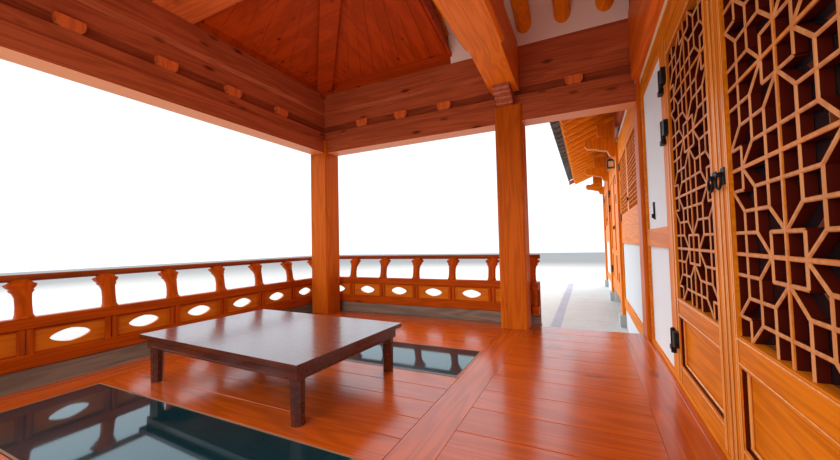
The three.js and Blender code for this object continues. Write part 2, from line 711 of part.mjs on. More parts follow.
// Indoors the hip goes on as a slimmer timber under the ceiling boards, up to the ceiling's peak
function hipIndoors(way, grow = 0) {
  const corner = [X_LEFT, Y_MID + way * HALF_SPAN];
  const reach = [CEILING_X - 6 - X_LEFT, -way * HALF_SPAN];
  const length = Math.hypot(...reach);
  const flat = PURLIN_TOP + GAP;
  const shy = BOARD_SLOPE * HIP_HALF + 3;
  const over = (u) => boardLow(HALF_SPAN * (1 - u)) - shy;
  const profile = [[-0.02, flat, over(0.1)], [0.054, flat, over(0.1)], [0.1, flat + 12, over(0.1)],
    [1, BOARD_PEAK - 115, over(1)]];
  return sheet(1, profile.length - 1, (i, j) => {
    const [u, z0, z1] = profile[j];
    const off = ((HIP_HALF + grow) * (2 * i - 1)) / length;
    return [corner[0] + u * reach[0] - off * reach[1], corner[1] + u * reach[1] + off * reach[0], z0 - grow, z1 + grow];
  });
}

function hipRafters() {
  const seat = HALF_SPAN - 40;
  const parts = [1, -1].flatMap((way) => [hipRafter(X_APEX, Y_MID, -1, way, seat), hipIndoors(way)]);
  return cut(join(...parts), box(CEILING_X - 6, CEILING_X + 200, Y_MID - 300, Y_MID + 300, 2900, 3400));
}

// Boards of the ceiling, a rim that stands on the purlins behind their lower edges, and an end wall
function hallCeiling() {
  const solid = (run, rise, deep) => {
    const left = BOARD_LEFT + BOARD_RUN - run;
    const z = boardLow(run) + rise;
    const corners = [[left, Y_MID - run], [left, Y_MID + run], [CEILING_X, Y_MID - run], [CEILING_X, Y_MID + run]];
    const points = corners.flatMap(([x, y]) => [[x, y, z], [x, y, z - deep]]);
    points.push([CEILING_X, Y_MID, BOARD_PEAK + rise]);
    return toSolid(new ConvexGeometry(points.map((p) => new THREE.Vector3(...p))));
  };
  const rimRun = HALF_SPAN - 80;
  const foot = PURLIN_TOP + GAP;
  const cover = solid(rimRun, 2 * BOARD_T, 400);
  const boards = solid(BOARD_RUN, BOARD_T + 1, 400);
  const room = (run, rise) => solid(run, rise, 900);
  const shell = cut(cover, room(rimRun - 15, BOARD_T), box(-900, 3000, -6000, 1000, 1000, foot));
  const lining = cut(boards, room(BOARD_RUN + 60, 0));
  const reach = rimRun - 30;
  const wall = prism([[Y_MID - reach, boardLow(reach) + 4], [Y_MID, BOARD_PEAK + 4], [Y_MID + reach, boardLow(reach) + 4],
    [Y_MID + reach, rafterFoot(reach)], [Y_MID, rafterFoot(0)], [Y_MID - reach, rafterFoot(reach)]], 'x',
  CEILING_X - 1, CEILING_X + BOARD_T);
  return cut(join(shell, lining, wall), sideBeam(6), hipIndoors(1, 2), hipIndoors(-1, 2));
}

// Gable over the left hip, and the boards that close the verges
function gableLeft() {
  const foot = underside(GABLE_RUN) + 2;
  const peak = underside(0) - 4;
  const reach = GABLE_RUN - 12;
  const outline = [[Y_MID - reach, foot], [Y_MID + reach, foot], [Y_MID, peak]];
  return prism(outline, 'x', X_GABLE + GAP, X_GABLE + 80);
}

function bargeboards(at, reach, lowest, axis, from, to) {
  const steps = 5;
  const side = (way, height) => Array.from({ length: steps + 1 }, (_, k) => {
    const run = (reach * k) / steps;
    return [at + way * run, height(run)];
  });
  const high = (run) => topside(run) - 60;
  const low = (run) => Math.max(underside(run) - 60, lowest);
  const outline = [...side(-1, low).reverse(), ...side(1, low).slice(1), ...side(1, high).reverse(), ...side(-1, high).slice(1)];
  return prism(outline, axis, from, to);
}

// Wing walls: posts and rails in front, one plaster slab behind them with its openings cut
function courtWindows() {
  return [0, 2].map((k) => [Y_FAR + k * BAY + POST / 2 + JAMB_W, Y_FAR + (k + 1) * BAY - POST / 2 - JAMB_W]);
}

const DOOR_BAY = [Y_FAR + BAY + POST / 2 + JAMB_W, Y_FAR + 2 * BAY - POST / 2 - JAMB_W];
const BACK_WINDOWS = [[Y_MID, Y_FAR], [Y_FAR + BAY, Y_FAR + 2 * BAY]].map(([a, b]) => [a + 130 + JAMB_W, b - 130 - JAMB_W]);

function railSet(along, axis, front, way) {
  const parts = [];
  const depth = [front, front + way * (RAIL_D - GAP)].sort((a, b) => a - b);
  const piece = (a0, a1, z0, z1) => (axis === 'y' ? box(...depth, a0, a1, z0, z1) : box(a0, a1, ...depth, z0, z1));
  const [a0, a1] = [along[0], along[along.length - 1]];
  parts.push(piece(a0, a1, -SILL_H, 0), piece(a0, a1, HEAD_Z, WALL_POST_TOP));
  for (let k = 0; k + 1 < along.length; k++) {
    const inner = [along[k] + 120, along[k + 1] - 120];
    parts.push(piece(...inner, ...MID_RAIL));
    parts.push(piece(inner[0], inner[0] + JAMB_W, -1, HEAD_Z + 1), piece(inner[1] - JAMB_W, inner[1], -1, HEAD_Z + 1));
  }
  return parts;
}

// Rails of one bay of the court wall, with the posts that bear them
function courtFrame(bay, posts) {
  const parts = railSet([Y_FAR + bay * BAY, Y_FAR + (bay + 1) * BAY], 'y', WALL_X, 1);
  parts.push(...posts.map((p) => post(p, WALL_POST_TOP)));
  parts.push(...posts.map(([x, y]) => courtBracket(x, y)));
  return cut(join(...parts), post([X_DOOR, Y_FAR], POST_TOP, GAP));
}

// Frame of the wing's door bay: jambs, rails, the boxed-in head and threshold, and the hinges' pins
function wingDoorFrame() {
  const jambShy = 10;
  const [y0, y1] = [Y_FAR + BAY + POST / 2 + GAP, Y_FAR + 2 * BAY - POST / 2 - GAP];
  const [d0, d1] = [DOOR_BAY[0] - jambShy, DOOR_BAY[1] + jambShy];
  const front = prism([[y0, -SILL_H], [y1, -SILL_H], [y1, WALL_POST_TOP], [y0, WALL_POST_TOP]], 'x', WALL_X,
    WALL_X + RAIL_D - GAP, [[[d0, 0], [d0, HEAD_Z], [d1, HEAD_Z], [d1, 0]]]);
  const deep = [WALL_X + RAIL_D / 2, WALL_X + RAIL_D + SLAB_D, DOOR_BAY[0] + GAP, DOOR_BAY[1] - GAP];
  return join(
    front,
    box(...deep, HEAD_Z + 1, SLAB_HIGH),
    box(...deep, -SILL_H + 1, -1),
    ...hingePins(DOOR_BAY[0], -1),
    ...hingePins(DOOR_BAY[1], 1),
  );
}

// Curled arm and beam end that stand out over a post of the court wall
function courtBracket(x, y) {
  const face = x - POST / 2;
  const arm = [[face + 20, 2096], [face - 62, 2102], [face - 84, 2146], [face - 104, 2190], [face - 190, 2208],
    [face - 265, 2236], [face - 340, 2244], [face - 388, 2262], [face - 408, 2302], [face - 402, 2352],
    [face - 376, 2386], [face - 336, 2384], [face - 300, 2370], [face - 230, 2400], [face + 20, 2400]];
  const block = [[face + 20, 2395], [face - 210, 2395], [face - 225, 2440], [face - 225, 2600], [face + 20, 2600]];
  const head = box(face - 60, face + 40, y - 120, y + 120, 2230, 2430);
  const armBody = prism(arm, 'y', y - 60, y + 60);
  const blockBody = prism(block, 'y', y - 115, y + 115);
  return cut(join(armBody, blockBody, head), box(face, face + 400, y - 200, y + 200, WALL_POST_TOP, 2700));
}

// Strips that hold a back window's two sides in its frame
function windowStrips(front, bay) {
  const [lap, reach] = [4, 12];
  const depth = [front - 13, front - 4];
  const height = [MID_RAIL[1] + 10, HEAD_Z - 10];
  return [box(...depth, bay[0] - reach, bay[0] + lap, ...height), box(...depth, bay[1] - lap, bay[1] + reach, ...height)];
}

// Posts and rails of the wing's three outer walls, with the two fixed windows of the back
function outerFrame() {
  const backFace = X_BACK + (X_DOOR - WALL_X);
  const nearFace = Y_NEAR - (X_DOOR - WALL_X);
  const endFace = Y_END + (X_DOOR - WALL_X);
  const cross = [X_DOOR, X_WING_MID, X_BACK];
  const parts = [
    ...railSet([Y_NEAR, Y_MID, Y_FAR, ...wingRows], 'y', backFace, -1),
    ...railSet(cross, 'x', nearFace, 1),
    ...railSet(cross, 'x', endFace, -1),
    ...OUTER_POSTS.map((p) => post(p, WALL_POST_TOP)),
    ...BACK_WINDOWS.map((bay) => windowPair(backFace, -1, bay)),
    ...BACK_WINDOWS.flatMap((bay) => windowStrips(backFace, bay)),
  ];
  const clear = [post([X_DOOR, Y_NEAR], POST_TOP, GAP), post([X_DOOR, Y_END], WALL_POST_TOP, GAP)];
  return cut(join(...parts), ...clear);
}

// Plaster slab that stands behind a run of rails, from the terrace to the purlin seats
const SLAB_LOW = TERRACE + GAP;
const SLAB_HIGH = SEAT_Z - GAP;

function courtPlaster(from, to, window) {
  const x0 = WALL_X + RAIL_D;
  const body = box(x0, x0 + SLAB_D, from, to, SLAB_LOW, SLAB_HIGH);
  const hole = box(x0 - 10, x0 + SLAB_D + 10, ...window, MID_RAIL[1], HEAD_Z);
  return cut(body, hole, ...[[X_DOOR, Y_FAR], ...COURT_POSTS].map(slabClear));
}

// Room that a post and its plinth take out of a plaster slab
function slabClear([x, y]) {
  const half = PLINTH_HALF + GAP;
  return join(post([x, y], WALL_POST_TOP, GAP), box(x - half, x + half, y - half, y + half, TERRACE - 1, PLINTH + GAP));
}

function outerPlaster() {
  const back = X_BACK + (X_DOOR - WALL_X) - RAIL_D;
  const near = Y_NEAR - (X_DOOR - WALL_X) + RAIL_D;
  const end = Y_END + (X_DOOR - WALL_X) - RAIL_D;
  const x0 = X_DOOR + POST / 2 + GAP;
  const path = [[x0, near], [back, near], [back, end], [x0, end]];
  const walls = prism(strip(path, 0, SLAB_D), 'z', SLAB_LOW, SLAB_HIGH);
  const shoulder = HALF_SPAN - PURLIN_HALF - 10;
  const eaves = rafterFoot(shoulder) - 4;
  const gableTop = [[X_WING_MID - shoulder, SLAB_HIGH - 5], [X_WING_MID + shoulder, SLAB_HIGH - 5],
    [X_WING_MID + shoulder, eaves], [X_WING_MID, rafterFoot(0) - 4], [X_WING_MID - shoulder, eaves]];
  const gable = prism(gableTop, 'y', end - SLAB_D, end);
  const holes = BACK_WINDOWS.map(([a, b]) => box(back - SLAB_D - 10, back + 10, a, b, MID_RAIL[1], HEAD_Z));
  const posts = [...OUTER_POSTS, [X_DOOR, Y_NEAR], [X_DOOR, Y_END]];
  return cut(join(walls, gable), ...holes, ...posts.map(slabClear));
}

// Lattice window pair in one bay: frame, meeting stiles, low panels and the main bars
function windowPair(front, way, [a0, a1]) {
  const low = MID_RAIL[1] + GAP;
  const high = HEAD_Z - GAP;
  const [p0, p1] = [a0 + GAP, a1 - GAP];
  const mid = (p0 + p1) / 2;
  const frame = 70;
  const meet = 75;
  const panel = low + 260;
  const holes = [];
  for (const [b0, b1] of [[p0 + frame, mid - meet], [mid + meet, p1 - frame]]) {
    const columns = 2;
    const rows = 3;
    const cell = [(b1 - b0) / columns, (high - frame - panel) / rows];
    for (let i = 0; i < columns; i++) {
      for (let j = 0; j < rows; j++) {
        const c = [b0 + i * cell[0] + BAR_W / 2, b0 + (i + 1) * cell[0] - BAR_W / 2];
        const d = [panel + j * cell[1] + BAR_W / 2, panel + (j + 1) * cell[1] - BAR_W / 2];
        holes.push([[c[0], d[0]], [c[0], d[1]], [c[1], d[1]], [c[1], d[0]]]);
      }
    }
  }
  const depth = [front + way * 2, front + way * (2 + LEAF_T)].sort((a, b) => a - b);
  return prism([[p0, low], [p1, low], [p1, high], [p0, high]], 'x', ...depth, holes);
}

// Boarded door of the wing, one leaf, with its hinge barrels
function wingDoor(hinge, meet) {
  const way = Math.sign(meet - hinge);
  const ys = [hinge + way * LEAF_GAP, meet - way * MEET_GAP].sort((a, b) => a - b);
  const z = [8, HEAD_Z - 8];
  const skin = box(WALL_X + 14, WALL_X + 34, ...ys, ...z);
  const frame = prism([[ys[0], z[0]], [ys[1], z[0]], [ys[1], z[1]], [ys[0], z[1]]], 'x', WALL_X, WALL_X + LEAF_T, [
    [[ys[0] + STILE, z[0] + 110], [ys[0] + STILE, 560], [ys[1] - STILE, 560], [ys[1] - STILE, z[0] + 110]],
    [[ys[0] + STILE, 650], [ys[0] + STILE, z[1] - STILE], [ys[1] - STILE, z[1] - STILE], [ys[1] - STILE, 650]],
  ]);
  return join(skin, frame, ...hingeBarrels(hinge, way));
}

function hingeBarrels(hinge, way) {
  const pin = WALL_X - PIN_OUT;
  const strap = [hinge, hinge + way * 70].sort((a, b) => a - b);
  const foot = [hinge + way * 9, hinge + way * 70].sort((a, b) => a - b);
  return HINGE_Z.flatMap(([z0, z1]) => [
    bar([pin, hinge, z0], [pin, hinge, z1], PIN_R, 6),
    box(pin - 4, pin + 8, ...strap, z0 + 15, z1 - 15),
    box(pin + 4, WALL_X + 2, ...foot, z0 + 15, z1 - 15),
  ]);
}

// Fixed half of each hinge, on the jamb under the leaf's barrel
function hingePins(hinge, way) {
  const pin = WALL_X - PIN_OUT;
  const drop = 34;
  const strap = [hinge, hinge + way * 62].sort((a, b) => a - b);
  return HINGE_Z.flatMap(([z0]) => [
    bar([pin, hinge, z0 - drop], [pin, hinge, z0 - GAP], PIN_R, 6),
    box(pin - 4, WALL_X + 2, ...strap, z0 - drop + 4, z0 - 5),
  ]);
}

// Door wall of the hall: rails, jambs, sill and head, with plaster on both sides of the doorway
const DOOR_EDGES = [Y_MID - DOOR_HALF, Y_MID + DOOR_HALF];

function doorFrame() {
  const y0 = Y_NEAR + POST / 2 + GAP;
  const y1 = Y_FAR - POST / 2 - GAP;
  const depth = [WALL_X, WALL_X + RAIL_D - GAP];
  const deep = [WALL_X, WALL_X + RAIL_D + SLAB_D];
  const parts = [box(...deep, y0, y1, -SILL_H, 0), box(...deep, y0, y1, HEAD_Z, DOOR_GIRDER_Z - GAP)];
  parts.push(box(...deep, ...DOOR_EDGES, -1, THRESHOLD));
  for (const way of [-1, 1]) {
    const edge = Y_MID + way * DOOR_HALF;
    const wall = way > 0 ? y1 : y0;
    const jamb = [edge, edge + way * JAMB_W].sort((a, b) => a - b);
    const side = [wall, wall - way * 60].sort((a, b) => a - b);
    const rail = [edge + way * 10, wall].sort((a, b) => a - b);
    parts.push(box(...deep, ...jamb, -1, HEAD_Z + 1), box(...depth, ...side, -1, HEAD_Z + 1));
    parts.push(...hingePins(edge, way));
    parts.push(box(...depth, ...rail, ...MID_RAIL), box(...depth, ...rail, -1, 28));
  }
  return join(...parts);
}

function doorPlaster(way) {
  const edge = Y_MID + way * (DOOR_HALF + JAMB_W + GAP);
  const wall = Y_MID + way * (HALF_SPAN - POST / 2 - GAP);
  const ys = [edge, wall].sort((a, b) => a - b);
  return box(WALL_X + RAIL_D, WALL_X + RAIL_D + SLAB_D, ...ys, GAP, HEAD_Z - GAP);
}

// Leaf of the hall's lattice door: grooved stiles, top and middle rails, low panel, main bars, hinges
function doorLeaf(way) {
  const hinge = Y_MID + way * DOOR_HALF;
  const ys = [hinge - way * LEAF_GAP, Y_MID + way * MEET_GAP].sort((a, b) => a - b);
  const outline = [[ys[0], LEAF_Z[0]], [ys[1], LEAF_Z[0]], [ys[1], LEAF_Z[1]], [ys[0], LEAF_Z[1]]];
  const inner = [ys[0] + STILE, ys[1] - STILE];
  const hole = ([z0, z1]) => [[inner[0], z0], [inner[0], z1], [inner[1], z1], [inner[1], z0]];
  const frame = prism(outline, 'x', WALL_X, WALL_X + LEAF_T, [hole(PANEL_Z), hole(LATTICE_Z)]);
  const panel = box(WALL_X + 24, WALL_X + 36, inner[0] - 5, inner[1] + 5, PANEL_Z[0] - 5, PANEL_Z[1] + 5);
  const row = (LATTICE_Z[1] - LATTICE_Z[0]) / LATTICE_ROWS;
  const column = (inner[1] - inner[0]) / LATTICE_COLS;
  const bars = [4, 8, 12, 16].map((k) => LATTICE_Z[0] + k * row).map((z) => (
    box(WALL_X + 6, WALL_X + 6 + BAR_D, inner[0] - 5, inner[1] + 5, z - BAR_W / 2, z + BAR_W / 2)));
  for (const k of [4]) {
    const y = inner[0] + k * column;
    bars.push(box(WALL_X + 6, WALL_X + 6 + BAR_D, y - BAR_W / 2, y + BAR_W / 2, LATTICE_Z[0] - 5, LATTICE_Z[1] + 5));
  }
  return join(frame, panel, ...bars, ...hingeBarrels(hinge, -way));
}

function leafGlass(way) {
  const ys = [DOOR_HALF - LEAF_GAP - STILE - GAP, MEET_GAP + STILE + GAP].map((d) => Y_MID + way * d).sort((a, b) => a - b);
  return box(WALL_X + 6 + BAR_D + GAP, WALL_X + 6 + BAR_D + 5, ...ys, LATTICE_Z[0] + GAP, LATTICE_Z[1] - GAP);
}

// Hall floor with ledges for the two glass panels
const glassRows = () => [1, -1].map((way) => GLASS_OFF.map((d) => Y_MID + way * d).sort((a, b) => a - b));

function hallFloor() {
  const y0 = Y_NEAR + POST / 2 - FLOOR_OUT;
  const y1 = Y_FAR - POST / 2 + FLOOR_OUT;
  const body = box(-FLOOR_OUT, WALL_X - GAP, y0, y1, -FLOOR_T, 0);
  const wells = glassRows().flatMap(([a, b]) => [
    box(GLASS_X[0], GLASS_X[1], a, b, -GLASS_T - GAP, 10),
    box(GLASS_X[0] + GLASS_LEDGE, GLASS_X[1] - GLASS_LEDGE, a + GLASS_LEDGE, b - GLASS_LEDGE, -FLOOR_T - 10, 10),
  ]);
  return cut(body, ...wells, ...Object.values(HALL_POSTS).map((p) => post(p, POST_TOP, GAP)));
}

function floorBeams() {
  const low = PLINTH + GAP;
  const high = -FLOOR_T - GAP;
  const ring = prism(strip(HALL_PATH(X_DOOR - POST / 2 - GAP), BEAM_HALF, BEAM_HALF), 'z', low, high);
  const outPath = [[RETURN_X, Y_NEAR - 240], [X_LEFT - 240, Y_NEAR - 240], [X_LEFT - 240, Y_FAR + 240], [RETURN_X, Y_FAR + 240]];
  const outer = prism(strip(outPath, 45, 45), 'z', low + 90, high);
  const joists = [];
  for (const x of [330, 1330, X_ENTRY + 200]) joists.push(box(x - 50, x + 50, Y_NEAR - 250, Y_FAR + 250, low + 60, high));
  joists.push(box(X_LEFT - 250, X_LEFT + 100, Y_MID - 50, Y_MID + 50, low + 60, high));
  const holes = Object.values(HALL_POSTS).map((p) => post(p, POST_TOP, GAP));
  const plinths = Object.values(HALL_POSTS).map(([x, y]) => {
    const half = PLINTH_HALF + 1;
    return box(x - half, x + half, y - half, y + half, TERRACE, PLINTH + GAP);
  });
  return cut(join(ring, outer, ...joists), ...holes, ...plinths);
}

// Weathered boards outside the floor, with a low kerb that the railing stands on
function outerDeck() {
  const offset = (out) => out - POST / 2;
  const path = HALL_PATH(RETURN_X);
  const boards = prism(strip(path, offset(DECK_OUT), -offset(FLOOR_OUT + 4)), 'z', -FLOOR_T, DECK_TOP);
  const kerb = prism(strip(path, offset(RAIL_IN + RAIL_T - 8), -offset(RAIL_IN + 12)), 'z', DECK_TOP - 1, RAIL_Z.foot - GAP);
  return cut(join(boards, kerb), ...Object.values(HALL_POSTS).map((p) => post(p, POST_TOP, GAP)));
}

// Railing along one side: laid out along +a with o as the distance out from the posts' inner faces.
// Each step has a panel with an eye-shaped hole, and a divider with a baluster over it at its ends.
const DIVIDER_HALF = 40;

function railingRun(length, first, step, panels, toWorld) {
  const out = [RAIL_IN, RAIL_IN + RAIL_T];
  const clear = (half) => (c) => Math.min(length - half, Math.max(half, c));
  const dividers = Array.from({ length: panels + 1 }, (_, k) => first + k * step).filter((c) => c > -DIVIDER_HALF / 2);
  const z = (RAIL_Z.sill + RAIL_Z.panel) / 2;
  const eyes = Array.from({ length: panels }, (_, k) => first + (k + 0.5) * step).map((c) => (
    Array.from({ length: 8 }, (_, i) => {
      const t = -(i / 8) * 2 * Math.PI;
      return [c + EYE.half * Math.cos(t), z + EYE.high * Math.sin(t)];
    })));
  const inset = 22;
  const plate = (a, zs, o, holes = []) => ({ kind: 'panel', holes, out: o,
    outline: [[a[0], zs[0]], [a[1], zs[0]], [a[1], zs[1]], [a[0], zs[1]]] });
  const parts = [
    plate([0, length], [RAIL_Z.sill - 4, RAIL_Z.panel + 4], [out[0] + inset, out[1] - inset], eyes),
    plate([0, length], [RAIL_Z.foot, RAIL_Z.sill], out),
    plate([0, length], [RAIL_Z.panel, RAIL_Z.band], out),
  ];
  for (const c of dividers.map(clear(DIVIDER_HALF))) {
    parts.push(plate([c - DIVIDER_HALF, c + DIVIDER_HALF], [RAIL_Z.sill - 2, RAIL_Z.panel + 2], [out[0] + 6, out[1] - 6]));
  }
  for (const c of dividers.map(clear(BALUSTER_HEAD_HALF))) parts.push({ kind: 'baluster', at: c });
  parts.push({ kind: 'hand', length });
  return parts.map((part) => toWorld(part));
}

// Curved stem of a baluster, as distance out and height, and its flared head, as half width and height
const BALUSTER = [[352, 330], [404, 330], [404, 480], [446, 595], [482, 645], [482, 664], [398, 664], [366, 560], [352, 440]];
const BALUSTER_HALF = 42;
const BALUSTER_HEAD_HALF = 76;
const BALUSTER_HEAD = [[-BALUSTER_HALF, 575], [BALUSTER_HALF, 575], [BALUSTER_HEAD_HALF, 622], [BALUSTER_HEAD_HALF, 662],
  [-BALUSTER_HEAD_HALF, 662], [-BALUSTER_HEAD_HALF, 622]];

// Side of the hall: origin at one end, direction along it, and the way out
function railingSide(axis, start, way, face, outWay) {
  return (part) => {
    const along = (a) => start + way * a;
    const far = (o) => face + outWay * o;
    if (part.kind === 'panel') {
      const outline = part.outline.map(([a, z]) => [along(a), z]);
      const holes = part.holes.map((h) => h.map(([a, z]) => [along(a), z]));
      const out = part.out.map(far).sort((a, b) => a - b);
      return prism(outline, axis === 'y' ? 'x' : 'y', ...out, holes);
    }
    if (part.kind === 'baluster') {
      const profile = BALUSTER.map(([o, z]) => [far(o), z]);
      const a = [along(part.at - BALUSTER_HALF), along(part.at + BALUSTER_HALF)].sort((p, q) => p - q);
      const headOut = [far(408), far(476)].sort((p, q) => p - q);
      const headOutline = BALUSTER_HEAD.map(([d, z]) => [along(part.at + d), z]);
      return join(prism(profile, axis === 'y' ? 'y' : 'x', ...a), prism(headOutline, axis === 'y' ? 'x' : 'y', ...headOut));
    }
    const z = RAIL_Z.hand;
    const o = far(HAND_OUT);
    const ends = [along(0), along(part.length)];
    return axis === 'y' ? bar([o, ends[0], z], [o, ends[1], z], HAND_R, 8) : bar([ends[0], o, z], [ends[1], o, z], HAND_R, 8);
  };
}

function railingLeft() {
  const reach = HAND_OUT + HAND_R;
  const length = SPAN - POST + 2 * reach;
  const first = (length - LEFT_PANELS * LEFT_STEP) / 2;
  return join(...railingRun(length, first, LEFT_STEP, LEFT_PANELS, railingSide('y', Y_NEAR + POST / 2 - reach, 1, 0, -1)));
}

function railingSideRun(face, outWay) {
  const start = -RAIL_IN + GAP + 1;
  const length = RETURN_X - start;
  const first = length - DIVIDER_HALF - SIDE_PANELS * SIDE_STEP;
  const run = railingRun(length, first, SIDE_STEP, SIDE_PANELS, railingSide('x', start, 1, face, outWay));
  const ys = [face + outWay * 222, face + outWay * (RAIL_IN + 10)].sort((a, b) => a - b);
  const rail = (z0, z1, inset = 0) => box(RETURN_X - 60 + inset, RETURN_X - inset, ...ys, z0, z1);
  const end = join(rail(RAIL_Z.foot, RAIL_Z.sill), rail(RAIL_Z.panel, RAIL_Z.band), rail(RAIL_Z.sill - 2, RAIL_Z.panel + 2, 18));
  const corner = box(-HAND_OUT - 60, -RAIL_IN + RAIL_T, face - 700, face + 700, RAIL_Z.band + 20, 900);
  return cut(join(...run, end), corner);
}

function lowTable() {
  const { w, d, h, top, apron, leg, inset } = TABLE;
  const board = box(-w / 2, w / 2, -d / 2, d / 2, h - top, h);
  const a = [w / 2 - inset, d / 2 - inset];
  const t = 22;
  const ring = cut(box(-a[0], a[0], -a[1], a[1], h - top - apron, h - top + 1),
    box(-a[0] + t, a[0] - t, -a[1] + t, a[1] - t, h - top - apron - 5, h - top));
  const legs = [[-1, -1], [1, -1], [1, 1], [-1, 1]].map(([sx, sy]) => {
    const cx = sx * (a[0] - leg / 2 - 3);
    const cy = sy * (a[1] - leg / 2 - 3);
    const geometry = new THREE.CylinderGeometry(leg * 0.54, leg * 0.46, h - top + 1 - GAP, 8);
    geometry.rotateX(Math.PI / 2);
    geometry.rotateZ(Math.PI / 8);
    geometry.translate(cx, cy, (h - top + 1 + GAP) / 2);
    return toSolid(geometry);
  });
  return join(board, ring, ...legs).rotate([0, 0, TABLE.turn]).translate([TABLE.x, TABLE.y, 0]);
}

function wingFloor() {
  const x0 = WALL_X + RAIL_D + SLAB_D + GAP;
  const inset = WALL_X + RAIL_D + SLAB_D - X_DOOR + GAP;
  const body = box(x0, X_BACK - inset, Y_NEAR + inset, Y_END - inset, -FLOOR_T, -GAP);
  const holes = [...ALL_POSTS.filter(([x]) => x >= X_DOOR)].map((p) => post(p, POST_TOP, GAP));
  const joists = [box(x0 + 1, X_BACK - 195, Y_MID - 60, Y_MID + 60, TERRACE + GAP, -FLOOR_T + 1),
    box(x0 + 1, X_BACK - 195, Y_FAR + 1.5 * BAY - 60, Y_FAR + 1.5 * BAY + 60, TERRACE + GAP, -FLOOR_T + 1)];
  return cut(join(body, ...joists), ...holes);
}

terraces();
hallPosts();
place('hall_floor', hallFloor(), 'floor');
place('hall_floor_beams', floorBeams(), 'beam');
place('outer_deck', outerDeck(), 'deck');
glassRows().forEach(([a, b], k) => {
  const pane = box(GLASS_X[0] + GAP, GLASS_X[1] - GAP, a + GAP, b - GAP, -GLASS_T, 0);
  place(k === 0 ? 'glass_floor_far' : 'glass_floor_near', pane, 'glass');
});
place('low_table', lowTable(), 'table');
place('railing_left', railingLeft(), 'railing');
place('railing_far', railingSideRun(0, 1), 'railing');
place('railing_near', railingSideRun(Y_NEAR + POST / 2, -1), 'railing');
place('lintels', lintels(), 'beam');
place('soro_band', soroBand(), 'beam');
place('eave_purlins', eavePurlins(), 'beam');
place('girder_main', girderMain(), 'beam');
place('girder_door', girderDoor(), 'pine');
place('side_beam', sideBeam(), 'beam');
place('bracket_far', bracket(Y_FAR, -1), 'beam');
place('bracket_near', bracket(Y_NEAR, 1), 'beam');
place('hip_rafters', hipRafters(), 'beam');
place('hip_rafter_back', hipRafter(X_WING_MID, Y_MID, 1, -1, HALF_SPAN - 175), 'beam');
place('hall_ceiling', hallCeiling(), 'ceiling');
place('rafters_inner', raftersInner(), 'pine');
place('rafters_near', raftersNear(), 'pine');
place('rafters_left', raftersLeft(), 'pine');
place('rafters_back', raftersBack(), 'pine');
roofSlopes();
place('roof_ridges', ridges(), 'tile');
place('gable_left', gableLeft(), 'plaster');
place('bargeboards_left', bargeboards(Y_MID, GABLE_RUN, topside(GABLE_RUN + VERGE) + 38, 'x', X_VERGE - 45, X_VERGE - GAP), 'beam');
place('bargeboards_end', bargeboards(X_WING_MID, RUN - 10, 0, 'y', Y_VERGE + GAP, Y_VERGE + 45), 'beam');
place('wing_frame_court_near', courtFrame(0, [COURT_POSTS[0]]), 'pine');
place('wing_frame_court_end', courtFrame(2, COURT_POSTS.slice(1)), 'pine');
place('wing_door_frame', wingDoorFrame(), 'pine');
place('wing_frame_outer', outerFrame(), 'pine');
const courtSide = [Y_FAR + POST / 2 + GAP, Y_END - POST / 2 - 2];
place('wing_plaster_court_near', courtPlaster(courtSide[0], DOOR_BAY[0], courtWindows()[0]), 'plaster');
place('wing_plaster_court_end', courtPlaster(DOOR_BAY[1], courtSide[1], courtWindows()[1]), 'plaster');
place('wing_plaster_outer', outerPlaster(), 'plaster');
courtWindows().forEach((bay, k) => place(`window_court_${k + 1}`, windowPair(WALL_X, 1, bay), 'pine'));
const wingMeet = (DOOR_BAY[0] + DOOR_BAY[1]) / 2;
place('wing_door_right', wingDoor(DOOR_BAY[0], wingMeet), 'pine');
place('wing_door_left', wingDoor(DOOR_BAY[1], wingMeet), 'pine');
place('wing_floor', wingFloor(), 'floor');
place('door_wall_frame', doorFrame(), 'pine');
place('door_wall_plaster_far', doorPlaster(1), 'plaster');
place('door_wall_plaster_near', doorPlaster(-1), 'plaster');
place('door_leaf_far', doorLeaf(1), 'pine');
place('door_leaf_near', doorLeaf(-1), 'pine');
place('door_glass_far', leafGlass(1), 'glass');
place('door_glass_near', leafGlass(-1), 'glass');

// The house stands with the middle of its plan over the origin and its terrace on z = 0
const bounds = new THREE.Box3().setFromObject(house);
house.position.set(-(bounds.min.x + bounds.max.x) / 2, -(bounds.min.y + bounds.max.y) / 2, -bounds.min.z);

const root = new THREE.Group();
root.add(house);
export default root;
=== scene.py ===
"""Looks of the hanok house: camera, light, materials, tiles, lattices, boards and ironwork on the frame."""
import math
from functools import cached_property

import bmesh
import bpy
from mathutils import Matrix, Vector


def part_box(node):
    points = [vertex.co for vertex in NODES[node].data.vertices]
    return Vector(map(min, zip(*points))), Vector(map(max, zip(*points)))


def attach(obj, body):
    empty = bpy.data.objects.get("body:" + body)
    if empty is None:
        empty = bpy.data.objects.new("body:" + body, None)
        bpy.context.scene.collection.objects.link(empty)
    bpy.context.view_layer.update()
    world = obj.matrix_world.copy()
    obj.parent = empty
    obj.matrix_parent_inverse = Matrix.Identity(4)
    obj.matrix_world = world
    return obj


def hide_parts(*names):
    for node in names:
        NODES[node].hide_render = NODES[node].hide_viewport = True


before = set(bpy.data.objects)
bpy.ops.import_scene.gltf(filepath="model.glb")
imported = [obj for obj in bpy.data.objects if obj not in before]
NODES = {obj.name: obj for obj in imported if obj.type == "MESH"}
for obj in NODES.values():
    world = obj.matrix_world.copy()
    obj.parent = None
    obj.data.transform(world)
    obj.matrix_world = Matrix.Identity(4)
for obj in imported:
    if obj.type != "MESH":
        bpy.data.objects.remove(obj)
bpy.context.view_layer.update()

# Plan of the hall and the wing, in metres, in the hall's own frame
POST = 0.26
X_LEFT = -0.13
